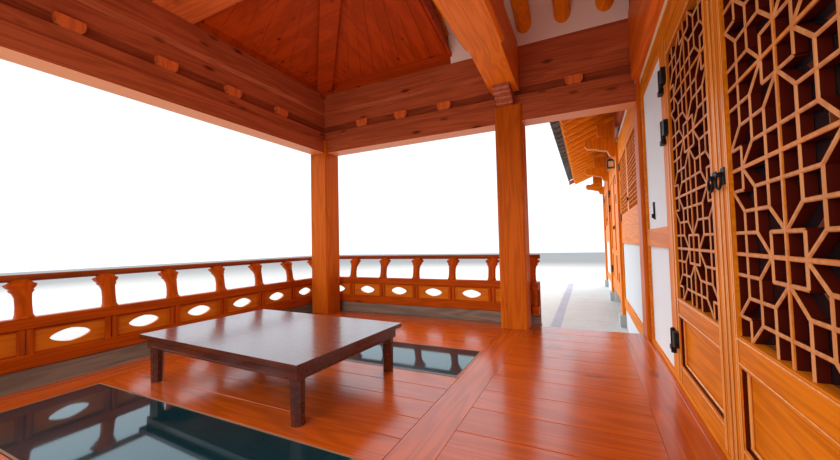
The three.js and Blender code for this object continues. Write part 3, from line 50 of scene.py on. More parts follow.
X_ENTRY = 2.295
X_DOOR = 3.516
SPAN = 3.93
HALF_SPAN = SPAN / 2
X_WING_MID = X_DOOR + HALF_SPAN
Y_FAR = 0.13
Y_NEAR = Y_FAR - SPAN
Y_MID = (Y_FAR + Y_NEAR) / 2
BAY = 2.43
Y_END = Y_FAR + 3 * BAY

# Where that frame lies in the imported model's frame
SHIFT = Vector((
    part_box("post_far_left")[0][0] + POST,
    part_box("post_far_left")[0][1],
    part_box("hall_floor")[1][2],
))

# Levels
GROUND = -0.63
PURLIN_TOP = 2.78

# Roof, as in the model's source
OVERHANG = 1.0
RUN = HALF_SPAN + OVERHANG
RAFTER_RUN = RUN - 0.08
RAFTER_D = 0.15
RAFTER_STEP = 0.35
NEAR_STEP = 0.339
SLOPE = 0.42
CURVE = 0.27
EAVE_T = 0.11
SEAT_RUN = HALF_SPAN + 0.1
RAFTER_HALF_H = RAFTER_D / 2 * math.hypot(1, SLOPE)
LIFT = 0.17
GABLE_RUN = 1.5
X_APEX = X_LEFT + HALF_SPAN
X_GABLE = X_APEX - GABLE_RUN
X_VERGE = X_GABLE - 0.33
Y_VERGE = Y_END + POST / 2 + 0.45
FAN_TOP = 1.56
FAN_CLEAR = 0.26
FAN_HEAD = 0.089
FAN_TIP = 0.355
FAN_RAYS = 5
EAVE_FIRST = 0.215

# Tiles
TILE_PITCH = 0.3
TILE_LENGTH = 0.3
TILE_R = 0.074
TROUGH_STEP = 0.15
TILE_BACK = 0.03
BED_BACK = 0.13
BED_DROP = 0.036
RAFTER_END = RUN - 0.16
SHORT_RUN = 0.12
# An end disc by its rings: depth from its front, and part of its radius
DISC_RINGS = ((0.04, 0.94), (0.0005, 1.0), (0.0005, 0.8), (0.006, 0.74), (0.006, 0.3), (0.002, 0.16))
# Runs at which the slab under the tiles has its lines, above and below the gable's foot
UPPER_RUNS = [0.0003, 0.25, 0.5, 0.75, 1.0, 1.25]
LOWER_RUNS = [GABLE_RUN, FAN_TOP, 1.8, 2.0, 2.2, 2.43, 2.7, RUN - BED_BACK]
# Half width and height of the ridges, and for verges and hips also their steps and layers of tiles
MAIN_RIDGE = (0.11, 0.3)
VERGE_RIDGE = (0.085, 0.19, 10, 4)
HIP_RIDGE = (0.09, 0.2, 12, 4)

# Door leaves
LEAF_FRONT = 3.415
LATTICE_Z = (0.51, 1.905)
LATTICE_X = (3.4212, 3.4488)
UPRIGHT_X = (3.4215, 3.4485)
SLANT_X = (3.4209, 3.4491)
MAIN_X = (3.4206, 3.423)
MAIN_UPRIGHT_X = (3.4203, 3.423)
LEAVES = (("far", 1), ("near", -1))
LATTICE_COLS = 8
LATTICE_ROWS = 20
BAR_HALF = 0.006
BAR_EASE = 0.003
LEAF_PANEL_Z = (0.1355, 0.4055)
LEAF_INNER = (0.0975, 0.772)
LEAF_OUTER = (0.0057, 0.8637)

# The leaves' lattice as one quarter of its repeat, mirrored about the fourth line: the bars of each line
ACROSS = ["1111", "1011", "0110", "1101", "1111"]
UPRIGHT = {1: "1011", 2: "0110", 3: "1101", 4: "1111"}
SLANTS = [((1, 0), (2, 1)), ((0, 1), (1, 2)), ((3, 2), (4, 3)), ((2, 3), (3, 4))]
QUARTER = 4

# Hinges: the pins' place and heights, and for each door its pin's place and the side that its frame is on
PIN_X = 3.397
HINGE_Z = ((1.754, 1.855), (1.447, 1.545), (0.214, 0.315))
PIN_FAR, PIN_NEAR, PIN_RIGHT, PIN_LEFT = -0.965, -2.705, 2.8, 4.75
FRAME_SIDES = {PIN_FAR: 1, PIN_NEAR: -1, PIN_RIGHT: -1, PIN_LEFT: 1}
PIN_R = 0.013
RING_Z = 1.046
RING_R = 0.026
RING_IN = 0.045
ROSE_Z = (1.035, 1.095)

# Where the materials' masks begin and end: distances from the hall's middle line, heights and half widths
JAMB_OFF = (0.86, 0.98)
JAMB_TOP = 2.03
STILES_OFF = (0.097, 0.772)
LATTICE_OFF = (0.096, 0.7735)
SOFFIT_Z = (2.0, 2.06)
BAY_POST_HALF = 0.24
END_POST_HALF = 0.15

# Timbers over the hall
GIRDER_X = 2.28
BLOCK_Z = (2.301, 2.384)
BLOCKS_FAR = (0.528, 1.066, 1.604, 2.905)
BLOCK_STEP = 0.59
BLOCK_FACE = 0.0935
BLOCK_SIDE = [(0.046, 0.0), (0.058, 0.006), (0.069, 0.018), (0.075, 0.034), (0.0775, 0.05)]
POST_Z = (-0.2597, 2.1947)
HALL_POSTS = [(x, y) for x in (X_LEFT, X_ENTRY, X_DOOR) for y in (Y_FAR, Y_NEAR)]
# Each scroll of a cloud nose: its place out from the posts' line, its height and its radius
NOSE_SCROLLS = ((0.176, 2.2185, 0.021), (0.226, 2.252, 0.019), (0.282, 2.281, 0.017), (0.335, 2.302, 0.014))
NOSE_HALF = 0.0765

# Ceiling: where its boards meet, and where they start
CEILING_HEAD = 1.93
CEILING_X = 1.7
LAST_X = X_ENTRY + 0.185 + 2 * RAFTER_STEP
FIRST_X = LAST_X - 6 * RAFTER_STEP
PEAK = Vector((CEILING_X, Y_MID, 3.25))
BOARD_EDGE = 0.08
BOARD_Z = 3.25 - 0.222 * 1.755
BOARD_NEAR = 0.05

# Floor of the hall around its two glass panels
FLOOR_X = (-0.207, 3.4147)
FLOOR_Y = (-3.877, 0.207)
GLASS_X = (0.1, 2.19)
GLASS_Y = ((-2.88, -2.305), (-1.365, -0.79))
SEAM_LEFT = 2.2
SEAM_RIGHT = 2.395
SEAM_DOOR = 3.215
FLOOR_T = 0.06
SEAM = 0.0012
NOTCH = 0.0004

# Railing: distances out from the posts' inner faces, and heights
RAIL_IN = 0.326
RAIL_T = 0.07
FOOT_Z, SILL_Z, PANEL_Z, BAND_Z, HAND_Z = 0.097, 0.187, 0.35, 0.424, 0.681
HAND_OUT = 0.441
HAND_R = 0.024
RETURN_X = 2.5
RETURN_IN = 0.222
LEFT_PANELS = (0.455, 9)
SIDE_PANELS = (0.467, 6)
DIVIDER_HALF = 0.04
EYE_HALF = 0.112
EYE_HIGH = 0.046
Y_INNER_FAR = Y_FAR - POST / 2
Y_INNER_NEAR = Y_NEAR + POST / 2

# Baluster by height: its place out, half its depth, half its width, and how deep its petals are cut
BALUSTER = [
    (0.423, 0.366, 0.043, 0.047, 0.0), (0.432, 0.368, 0.04, 0.045, 0.0), (0.446, 0.376, 0.028, 0.041, 0.0),
    (0.5, 0.384, 0.023, 0.039, 0.0), (0.55, 0.394, 0.024, 0.04, 0.0), (0.58, 0.41, 0.03, 0.046, 0.03),
    (0.598, 0.42, 0.036, 0.062, 0.08), (0.606, 0.422, 0.034, 0.056, 0.05), (0.618, 0.428, 0.04, 0.07, 0.1),
    (0.634, 0.434, 0.045, 0.08, 0.1), (0.642, 0.436, 0.043, 0.074, 0.04), (0.648, 0.438, 0.036, 0.06, 0.0),
    (0.66, 0.441, 0.03, 0.05, 0.0), (0.672, 0.441, 0.022, 0.046, 0.0),
]

# Windows of the wing: from and to along the wall, the face they are seen on, and the way in from it
WINDOWS = ((0.37, 2.32, 3.417, 1), (5.23, 7.18, 3.417, 1), (-1.595, -0.11, 7.545, -1), (2.8, 4.75, 7.545, -1))
WINDOW_Z = (0.9203, 2.0297)
WINDOW_FRAME = 0.07
WINDOW_MEET = 0.0375
WINDOW_PANEL = 0.26
WINDOW_BARS = 8
CROSS_STEP = 0.046
LAMP_AT = (3.414, 3.146)
LAMP_Z = (2.032, 2.158)

# Kerb of the court
TERRACE_OUT = 0.9
TERRACE_END = 0.42
KERB_X = (X_DOOR - 1.1053, X_DOOR - 0.9525)
KERB_Z = (-0.6, -0.4294)
KERB_STONES = 6

# Low table: its middle, turn, width, depth and height, how far in its apron is, and the apron's lower edge
TABLE_AT = (1.067, -1.78)
TABLE_TURN = math.radians(-2.6)
TABLE_W, TABLE_D, TABLE_H = 1.41, 0.92, 0.308
APRON_IN = 0.03
APRON_LEG = 0.07
APRON_Z = TABLE_H - 0.026 - 0.062
BEAD_HALF = 0.003
BEAD_EASE = 0.002

# Camera at the photograph's place: yaw, pitch and roll, and the lens from its focal length in pixels
CAMERA_AT = Vector((2.9646, -3.4811, 0.8489))
CAMERA_TURN = (0.4449, 0.0385, 0.0232)
SENSOR = 36
FOCAL_PX = 350.64
PHOTO_W = 840


def about(middle, half):
    """The span of the given half width about a middle."""
    return middle - half, middle + half


def turns(count):
    """Angles of even steps once round."""
    return [2 * math.pi * k / count for k in range(count)]


class Shape:
    """The vertices and faces of one piece, in the hall's own frame."""

    def __init__(self):
        self.points = []
        self.faces = []

    def add(self, points, faces):
        first = len(self.points)
        self.points.extend(Vector(p) for p in points)
        self.faces.extend(tuple(first + i for i in face) for face in faces)

    def loft(self, rings):
        """Skins rings that have the same number of points, and closes both ends."""
        count = len(rings[0])
        faces = [tuple(reversed(range(count))), tuple((len(rings) - 1) * count + i for i in range(count))]
        for k in range(len(rings) - 1):
            for i in range(count):
                j = (i + 1) % count
                faces.append((k * count + i, k * count + j, (k + 1) * count + j, (k + 1) * count + i))
        self.add([p for ring in rings for p in ring], faces)

    def box(self, x, y, z, chamfer=0.0):
        """A block with its four edges along its longest side cut off by the chamfer."""
        sides = [x, y, z]
        long = max(range(3), key=lambda k: sides[k][1] - sides[k][0])
        u, v = [k for k in range(3) if k != long]
        (u0, u1), (v0, v1), c = sides[u], sides[v], chamfer
        outline = [(u0 + c, v0), (u1 - c, v0), (u1, v0 + c), (u1, v1 - c),
                   (u1 - c, v1), (u0 + c, v1), (u0, v1 - c), (u0, v0 + c)]
        if not chamfer:
            outline = [(u0, v0), (u1, v0), (u1, v1), (u0, v1)]
        self.prism(outline, long, sides[long])

    def prism(self, outline, axis, reach):
        """An outline in the two other axes' plane, drawn out along one axis."""
        u, v = [k for k in range(3) if k != axis]
        rings = []
        for end in reach:
            ring = []
            for a, b in outline:
                point = [0.0, 0.0, 0.0]
                point[axis], point[u], point[v] = end, a, b
                ring.append(point)
            rings.append(ring)
        self.loft(rings)

    def tube(self, path, radii, sides=12):
        """A round bar along a path, with a radius for each of its points."""
        path = [Vector(p) for p in path]
        side = None
        rings = []
        for k, centre in enumerate(path):
            along = (path[min(k + 1, len(path) - 1)] - path[max(k - 1, 0)]).normalized()
            start = side or (Vector((0, 0, 1)) if abs(along.z) < 0.9 else Vector((1, 0, 0)))
            side = (start - along * start.dot(along)).normalized()
            other = along.cross(side)
            spokes = [side * math.cos(t) + other * math.sin(t) for t in turns(sides)]
            rings.append([centre + radii[k] * spoke for spoke in spokes])
        self.loft(rings)

    def sheet(self, across, down, point):
        """A closed sheet over a grid whose points give x, y and the heights of its two faces."""
        grid = [[point(i, j) for i in range(across + 1)] for j in range(down + 1)]
        low = [(x, y, z) for row in grid for x, y, z, _ in row]
        high = [(x, y, z) for row in grid for x, y, _, z in row]
        wide = across + 1
        count = len(low)
        faces = []
        for j in range(down):
            for i in range(across):
                a, b, c, d = j * wide + i, j * wide + i + 1, (j + 1) * wide + i + 1, (j + 1) * wide + i
                faces += [(d, c, b, a), (count + a, count + b, count + c, count + d)]
        rim = [*range(wide), *[j * wide + across for j in range(1, down + 1)]]
        rim += [down * wide + i for i in reversed(range(across))]
        rim += [j * wide for j in reversed(range(1, down))]
        for a, b in zip(rim, rim[1:] + rim[:1]):
            faces.append((a, b, count + b, count + a))
        self.add(low + high, faces)


def piece(name, shape, look, body="house", smooth=None, replaces=()):
    """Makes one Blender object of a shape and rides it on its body."""
    mesh = bpy.data.meshes.new(name)
    mesh.from_pydata([p + SHIFT for p in shape.points], [], shape.faces)
    work = bmesh.new()
    work.from_mesh(mesh)
    bmesh.ops.recalc_face_normals(work, faces=work.faces)
    work.to_mesh(mesh)
    work.free()
    mesh.materials.append(LOOKS[look])
    made = bpy.data.objects.new(name, mesh)
    bpy.context.scene.collection.objects.link(made)
    if smooth:
        mesh.shade_smooth()
        mesh.set_sharp_from_angle(angle=math.radians(smooth))
    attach(made, body)
    if replaces:
        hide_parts(*replaces)
    return made


class Material:
    """A principled material and short ways to add nodes to it."""

    def __init__(self, name, roughness, **values):
        self.made = bpy.data.materials.new(name)
        self.made.use_nodes = True
        self.tree = self.made.node_tree
        self.shader = self.tree.nodes["Principled BSDF"]
        self.shader.inputs["Roughness"].default_value = roughness
        for key, value in values.items():
            self.shader.inputs[key.replace("_", " ")].default_value = value
        place = self.add("ShaderNodeTexCoord").outputs["Object"]
        self.place = self.add("ShaderNodeVectorMath", [place, SHIFT], operation="SUBTRACT").outputs[0]

    def add(self, kind, values=(), **settings):
        node = self.tree.nodes.new(kind)
        for key, value in settings.items():
            setattr(node, key, value)
        for key, value in values.items() if isinstance(values, dict) else enumerate(values):
            self.feed(node.inputs[key], value)
        return node

    def feed(self, socket, value):
        """Links a socket to another one, or sets a value on it."""
        if isinstance(value, bpy.types.NodeSocket):
            self.tree.links.new(value, socket)
        elif socket.type == "RGBA":
            socket.default_value = (*value, 1)
        else:
            socket.default_value = value

    def calc(self, operation, *values, clamp=False):
        return self.add("ShaderNodeMath", values, operation=operation, use_clamp=clamp).outputs[0]

    def times(self, first, second):
        return self.calc("MULTIPLY", first, second)

    def over(self, value, limit):
        return self.calc("GREATER_THAN", value, limit)

    def under(self, value, limit):
        return self.calc("LESS_THAN", value, limit)

    @cached_property
    def axes(self):
        """The X, Y and Z of a point in the hall's own frame."""
        return self.add("ShaderNodeSeparateXYZ", [self.place]).outputs

    def facing(self, axis):
        """How far the surface faces along an axis."""
        normal = self.add("ShaderNodeNewGeometry").outputs["Normal"]
        return self.add("ShaderNodeSeparateXYZ", [normal]).outputs[axis]

    def joined(self, x, y, z):
        return self.add("ShaderNodeCombineXYZ", [x, y, z]).outputs[0]

    def scaled(self, vector, factors):
        return self.add("ShaderNodeVectorMath", [vector, factors], operation="MULTIPLY").outputs[0]

    def noise(self, vector, scale, detail=3.0, distortion=0.0):
        values = {"Vector": vector, "Scale": scale, "Detail": detail, "Distortion": distortion}
        return self.add("ShaderNodeTexNoise", values).outputs["Fac"]

    def ramp(self, factor, stops):
        node = self.add("ShaderNodeValToRGB", [factor])
        bands = node.color_ramp.elements
        while len(bands) < len(stops):
            bands.new(0.5)
        for band, (at, colour) in zip(bands, stops):
            band.position = at
            band.color = (*colour, 1)
        return node.outputs[0]

    def blend(self, factor, first, second):
        return self.add("ShaderNodeMix", {0: factor, 6: first, 7: second}, data_type="RGBA").outputs[2]

    def band(self, value, low, high):
        """1 where the value lies between low and high, else 0."""
        return self.times(self.over(value, low), self.under(value, high))

    def colour(self, socket):
        self.tree.links.new(socket, self.shader.inputs["Base Color"])

    def rough(self, socket, low, high):
        spread = self.add("ShaderNodeMapRange", {0: socket, 3: low, 4: high}).outputs[0]
        self.tree.links.new(spread, self.shader.inputs["Roughness"])

    def bump(self, socket, strength, distance):
        values = {"Strength": strength, "Distance": distance, "Height": socket}
        self.tree.links.new(self.add("ShaderNodeBump", values).outputs[0], self.shader.inputs["Normal"])


def tone(text):
    """A colour written as on a screen, as the linear colour that the shader takes."""
    parts = [int(text[i:i + 2], 16) / 255 for i in (0, 2, 4)]
    return tuple(p / 12.92 if p < 0.04045 else ((p + 0.055) / 1.055) ** 2.4 for p in parts)


def toned(colour, part):
    """A colour made darker, or lighter, by a factor."""
    return tuple(c * part for c in colour)


def grain_vector(look, grain, across):
    """Coordinates with the grain first: along one axis, or another where a mask of `across` says so."""
    x, y, z = look.axes
    order = {"x": (x, y, z), "y": (y, x, z), "z": (z, x, y)}
    vector = look.joined(*order[grain])
    for other, mask in across:
        values = {0: mask(look), 4: vector, 5: look.joined(*order[other])}
        vector = look.add("ShaderNodeMix", values, data_type="VECTOR").outputs[1]
    return vector


def wood(name, light, dark, grain, across=(), rough=(0.32, 0.52), knots=0.5, lines=1.0, bump=0.25, shade=None,
         gloss=0.16, knot_scale=(1.6, 4.5, 4.5), knot_size=0.13, **values):
    """Pine with streaks along its grain, dark knots, slow changes of colour and fine fibres in its relief,
    and where a mask says so a painted shade or painted light.
    """
    look = Material(name, 0.4, Specular_IOR_Level=gloss, **values)
    vector = grain_vector(look, grain, across)
    slow = look.noise(look.scaled(vector, (0.5, 3.0, 3.0)), 1.3, 2.0)
    wavy = look.noise(look.scaled(vector, (0.6, 9.0, 9.0)), 1.0, 2.0, 0.4)
    rings = look.calc("SINE", look.times(wavy, 46.0 * lines))
    rings = look.calc("MULTIPLY_ADD", rings, 0.5, 0.5)
    fibre = look.noise(look.scaled(vector, (5.0, 160.0, 160.0)), 1.0, 4.0)
    spots = look.add("ShaderNodeTexVoronoi", {"Vector": look.scaled(vector, knot_scale), "Scale": 1.0})
    near = look.calc("SUBTRACT", 1.0, look.calc("DIVIDE", spots.outputs["Distance"], knot_size), clamp=True)
    pale, deep = tone(light), tone(dark)
    mixed = look.blend(look.times(rings, 0.55), pale, deep)
    mixed = look.blend(look.times(slow, 0.6), mixed, toned(pale, 0.72))
    mixed = look.blend(look.times(fibre, 0.35), mixed, deep)
    burnt = toned(deep, 0.22)
    mixed = look.blend(look.times(look.calc("POWER", near, 0.6), knots), mixed, burnt)
    # An optional mask blends in a colour of painted shade in recesses, or of painted light on undersides.
    if shade:
        mask, painted_tone = shade
        mixed = look.blend(mask(look), mixed, tone(painted_tone))
    look.colour(mixed)
    look.rough(fibre, *rough)
    look.bump(look.calc("ADD", look.times(rings, 0.4), fibre), bump, 0.0012)
    return look.made


def plaster(name, colour):
    """Lime plaster with wide pale and dark patches and a fine grit."""
    look = Material(name, 0.9)
    wide = look.noise(look.place, 1.4, 4.0)
    fine = look.noise(look.place, 60.0, 4.0)
    base = tone(colour)
    look.colour(look.blend(look.times(wide, 0.5), base, toned(base, 0.8)))
    look.rough(fine, 0.8, 0.95)
    look.bump(look.calc("ADD", look.times(wide, 2.0), fine), 0.35, 0.002)
    return look.made


def stone(name, colour, block):
    """Dressed granite with specks, and joints between blocks of the given length."""
    look = Material(name, 0.85)
    x, y = look.axes["X"], look.axes["Y"]
    on_y = look.over(look.calc("ABSOLUTE", look.facing(1)), 0.5)
    specks = look.noise(look.place, 180.0, 2.0)
    patches = look.noise(look.place, 2.2, 4.0)
    base = tone(colour)
    pale = look.ramp(specks, [(0.4, (0, 0, 0)), (0.62, (1, 1, 1))])
    mixed = look.blend(pale, toned(base, 0.6), base)
    mixed = look.blend(look.times(patches, 0.6), mixed, toned(base, 0.55))
    length = look.calc("MULTIPLY_ADD", on_y, look.calc("SUBTRACT", x, y), y)
    joint = look.under(look.calc("PINGPONG", length, block / 2), 0.004)
    look.colour(look.blend(look.times(joint, 0.85), mixed, toned(base, 0.16)))
    look.rough(patches, 0.75, 0.95)
    look.bump(look.calc("SUBTRACT", specks, joint), 0.5, 0.003)
    return look.made


def fired_tile(name, colour):
    """Grey fired clay: each tile a little lighter or darker, with weather stains and a rough skin."""
    look = Material(name, 0.7)
    cells = look.add("ShaderNodeTexVoronoi", {"Vector": look.place, "Scale": 4.2})
    tint = look.add("ShaderNodeSeparateColor", [cells.outputs["Color"]]).outputs[0]
    stain = look.noise(look.place, 1.1, 5.0, 0.6)
    fine = look.noise(look.place, 90.0, 4.0)
    base = tone(colour)
    mixed = look.blend(tint, toned(base, 0.6), toned(base, 1.35))
    mixed = look.blend(look.ramp(stain, [(0.42, (0, 0, 0)), (0.7, (0.7, 0.7, 0.7))]), mixed, tone("6c6f70"))
    look.colour(mixed)
    look.rough(fine, 0.55, 0.85)
    look.bump(look.calc("ADD", fine, stain), 0.4, 0.003)
    return look.made


def dark_glass(name, colour, **values):
    """Glass that is partly clear, with a dark colour painted as shade for the dark behind it, and that
    mirrors what is before it.
    """
    rough = 0.03
    values = {"IOR": 1.52, "Coat_Weight": 1.0, "Coat_Roughness": 0.02, "Coat_IOR": 1.9, **values}
    look = Material(name, rough, Transmission_Weight=0.45, **values)
    haze = look.noise(look.place, 3.0, 3.0)
    base = tone(colour)
    look.colour(look.blend(haze, base, tuple(c * 1.8 + 0.004 for c in base)))
    look.rough(haze, rough, rough + 0.04)
    return look.made


def iron(name):
    """Blackened iron, worn in places."""
    look = Material(name, 0.5, Metallic=0.7)
    worn = look.noise(look.place, 40.0, 5.0)
    look.colour(look.ramp(worn, [(0.35, tone("15161a")), (0.75, tone("3a3734"))]))
    look.rough(worn, 0.38, 0.68)
    look.bump(look.noise(look.place, 160.0, 3.0), 0.4, 0.001)
    return look.made


# Masks for the materials, two of which mark painted shade and painted light: 1 where a point belongs to what
# they name, else 0
def left_side(look):
    """The timbers over the left row of posts, which lie along Y."""
    return look.under(look.axes["X"], 0.0)


def off_middle(look):
    """How far a point is from the hall's middle line."""
    return look.calc("ABSOLUTE", look.calc("SUBTRACT", look.axes["Y"], Y_MID))


def door_frame_upright(look):
    """Jambs of the door wall's frame, below its head."""
    return look.times(look.band(off_middle(look), *JAMB_OFF), look.under(look.axes["Z"], JAMB_TOP))


def leaf_upright(look):
    """Stiles of the leaves: beside the hinges and beside the meeting line."""
    off = off_middle(look)
    return look.calc("MAXIMUM", look.under(off, STILES_OFF[0]), look.over(off, STILES_OFF[1]))


def lattice_recess_shade(look):
    """Sides of the lattice bars behind their front faces, and of the leaves' sunk panels, where a dark red is
    painted as shade.
    """
    within = look.band(off_middle(look), *LATTICE_OFF)
    bars = look.times(look.band(look.axes["Z"], *LATTICE_Z), look.over(look.axes["X"], LATTICE_X[0] + 0.0035))
    sunk = look.band(look.axes["X"], LEAF_FRONT + 0.003, LEAF_FRONT + 0.0235)
    reveal = look.times(look.band(look.axes["Z"], *LEAF_PANEL_Z), sunk)
    return look.times(within, look.calc("MAXIMUM", bars, reveal))


def lintel_underside_light(look):
    """Undersides of the lintels, painted paler as the light that the ground outside throws up on them."""
    return look.times(look.under(look.facing(2), -0.5), look.band(look.axes["Z"], *SOFFIT_Z))


def end_wall(look):
    """The wing's two end walls, whose timbers lie along X."""
    return look.calc("SUBTRACT", 1.0, look.band(look.axes["Y"], Y_NEAR + 0.2, Y_END - 0.2))


def wing_upright(look):
    """Posts and jambs of the wing: close to a bay line of its long walls or to a post of its end walls."""
    bay_line = look.calc("PINGPONG", look.calc("SUBTRACT", look.axes["Y"], Y_FAR), BAY / 2)
    post = look.calc("PINGPONG", look.calc("SUBTRACT", look.axes["X"], X_DOOR), (X_WING_MID - X_DOOR) / 2)
    ends = end_wall(look)
    at_end = look.times(ends, look.under(post, END_POST_HALF))
    along = look.times(look.under(bay_line, BAY_POST_HALF), look.calc("SUBTRACT", 1.0, ends))
    return look.calc("MAXIMUM", at_end, along)


def finishes():
    """Every material of the house by a short name."""
    pine = {"light": "f08a14", "dark": "b0500a", "gloss": 0.07}
    # Painted light: the rafters' pine is brighter than the posts', for the light thrown up under the eaves.
    log = {"light": "ff9a1c", "dark": "d0660e", "knots": 0.5, "gloss": 0.05}
    # Painted shade: the beams, brackets and bargeboards are the posts' orange varnished pine, painted a
    # darker red for the shade they stand in.
    red = {"light": "c8663c", "dark": "84361e", "knot_scale": (2.4, 7.0, 7.0), "knot_size": 0.16}
    rail = {"light": "c4520c", "dark": "7c2e04", "gloss": 0.07}
    boarding = {"light": "cc4c14", "dark": "862a08", "knots": 1.0, "lines": 0.4, "bump": 0.08,
                "knot_scale": (4.0, 7.0, 7.0), "knot_size": 0.14, "gloss": 0.08}
    polished = {"light": "cc5810", "dark": "883406", "knots": 0.7, "rough": (0.14, 0.3), "gloss": 0.3,
                "Coat_Weight": 0.5, "Coat_Roughness": 0.16, "Coat_IOR": 1.6}
    turned = {"grain": "x", "across": (("y", left_side),)}
    # Painted shade: dark red on the recessed sides of the lattice bars and on the reveals of the leaves' sunk
    # panels.
    deep = (lattice_recess_shade, "4c1208")
    # Painted light: a pale tan on the lintels' undersides, for the light thrown up from the ground outside.
    painted_underside_light = (lintel_underside_light, "e8945c")
    at_door = (("z", door_frame_upright),)
    at_wing = (("x", end_wall), ("z", wing_upright))
    two_ways = {"rafter": log, "pine": {**pine, "knots": 0.5}, "red": {**red, "knots": 0.8},
                "ceiling": boarding, "floor": polished}
    return {
        **{f"{name}_{axis}": wood(f"{name}_along_{axis}", **values, grain=axis)
           for name, values in two_ways.items() for axis in "xy"},
        "post": wood("post_pine", "d66a14", "9c3e08", "z", knots=0.8, gloss=0.1),
        "pine_z": wood("pine_upright", **pine, grain="z", knots=0.45),
        "door_frame": wood("door_frame_pine", **pine, grain="y", across=at_door, knots=0.4),
        "leaf": wood("leaf_pine", "e88416", "a8500a", "y", (("z", leaf_upright),), knots=0.4, gloss=0.07,
                     shade=deep),
        # The lattice's pale cream pine is a painted highlight of its glossy varnish; its bar sides carry the
        # painted shade.
        "lattice": wood("lattice_pine", "dc9860", "a8602c", "z", knots=0.0, gloss=0.07, shade=deep),
        "wing_frame": wood("wing_frame_pine", **pine, grain="y", across=at_wing, knots=0.4),
        "beam": wood("beam_pine", **red, **turned, knots=1.0, shade=painted_underside_light),
        # Painted light: the great beam, the door beam and the side beam are brighter than the posts' pine,
        # each by its own amount, for the light the floor throws up under them.
        "girder": wood("girder_pine", "ff8c24", "c8580e", "y", knots=0.7),
        "door_girder": wood("door_girder_pine", "f0721a", "a8420a", "y", knots=0.7, gloss=0.07),
        "side_beam": wood("side_beam_pine", "f0783c", "b04c1c", "x", knots=0.5, gloss=0.1),
        "rail_panel": wood("rail_panel", "e07a1c", "a85010", **turned, knots=0.3, gloss=0.07),
        "handrail": wood("handrail", "9c4416", "5c2408", **turned, knots=0.2, gloss=0.14),
        "strip": plaster("glass_strip", "8a6a4c"),
        "kerb": stone("kerb_granite", "a8aab6", 1.2),
        # Painted light and shade: the bearing blocks in a brighter pine than the beams, the boards recessed
        # between them in a darker one.
        "block": wood("bearing_block_pine", "f07a3c", "b44c20", "z", knots=0.2, gloss=0.07),
        "recess": wood("recess_board", "a8502e", "642814", **turned, knots=1.0),
        "railing": wood("railing_timber", **rail, **turned, knots=0.6),
        "railing_z": wood("railing_upright", **rail, grain="z", knots=0.3),
        "deck": wood("deck_timber", "9c8270", "54443a", **turned, knots=0.5, rough=(0.5, 0.8)),
        "table": wood("table_lacquer", "5a2818", "2a0e09", "x", knots=0.0, rough=(0.2, 0.32), gloss=0.4,
                      Coat_Weight=0.8, Coat_Roughness=0.14),
        # Painted light: the eave boards' pine is brighter than the posts', for the light thrown up under the
        # eaves.
        "soffit": wood("soffit_boards", "ffa040", "cc6a18", "x", knots=0.4),
        "plaster": plaster("lime_plaster", "ccd2d6"),
        "inner_plaster": plaster("inner_plaster", "e2eaee"),
        "cream": plaster("cream_strip", "ecd2a6"),
        "ceiling_plaster": plaster("ceiling_plaster", "f0dcd0"),
        "stone": stone("granite", "c2c6c6", 0.9),
        "tile": fired_tile("roof_tile", "3f4348"),
        "glass": dark_glass("dark_glass", "10181c"),
        "floor_glass": dark_glass("floor_glass", "0a3238", Specular_Tint=(0.6, 0.93, 1.0, 1.0), IOR=1.9,
                                  Coat_Weight=0.0),
        "iron": iron("black_iron"),
        "pane": dark_glass("window_pane", "1c1008"),
        "nose": wood("nose_carving", "d08a70", "8c4a34", "y", knots=0.2),
        # The beads are a paler pine than the leaves, partly a painted highlight along the mouldings, and
        # glossier as well.
        "bead": wood("leaf_beads", "f2a452", "be6c26", "z", knots=0.0, rough=(0.18, 0.3), gloss=0.4),
    }


LOOKS = finishes()
NODE_LOOKS = {
    "post": ["post_far_left", "post_far_entrance", "post_door_far", "post_near_left", "post_near_entrance",
             "post_door_near"],
    "girder": ["girder_main"],
    "door_girder": ["girder_door"],
    "beam": ["lintels", "soro_band", "eave_purlins", "hall_floor_beams"],
    "ceiling_x": ["hall_ceiling", "hip_rafters", "hip_rafter_back"],
    "red_y": ["bracket_far", "bracket_near", "bargeboards_left"],
    "red_x": ["bargeboards_end"],
    "side_beam": ["side_beam"],
    "pine_y": ["rafters_inner", "rafters_near", "window_court_1", "window_court_2"],
    "pine_x": ["rafters_left", "rafters_back"],
    "door_frame": ["door_wall_frame"],
    "leaf": ["door_leaf_far", "door_leaf_near"],
    "pine_z": ["wing_door_right", "wing_door_left"],
    "wing_frame": ["wing_frame_court_near", "wing_frame_court_end", "wing_door_frame", "wing_frame_outer"],
    "floor_y": ["hall_floor", "wing_floor"],
    "railing": ["railing_left", "railing_far", "railing_near"],
    "deck": ["outer_deck"],
    "table": ["low_table"],
    "plaster": ["gable_left", "wing_plaster_court_near", "wing_plaster_court_end", "wing_plaster_outer"],
    "inner_plaster": ["door_wall_plaster_far", "door_wall_plaster_near"],
    "stone": ["terrace_hall", "terrace_wing"],
    "tile": ["roof_far", "roof_near", "roof_left", "roof_back", "roof_court", "roof_ridges"],
    "glass": ["door_glass_far", "door_glass_near"],
    "floor_glass": ["glass_floor_far", "glass_floor_near"],
}


def dress_nodes():
    """Gives each solid of the frame its material."""
    for look, names in NODE_LOOKS.items():
        for name in names:
            slots = NODES[name].material_slots
            for slot in slots:
                slot.link = "OBJECT"
                slot.material = LOOKS[look]


# Roof surfaces, by the run: how far out a point is from the ridge
def underside(run):
    """Height of the slab's lower face, which lies on the rafters."""
    return PURLIN_TOP + 2 * RAFTER_HALF_H + SLOPE * (SEAT_RUN - run) + 0.0009


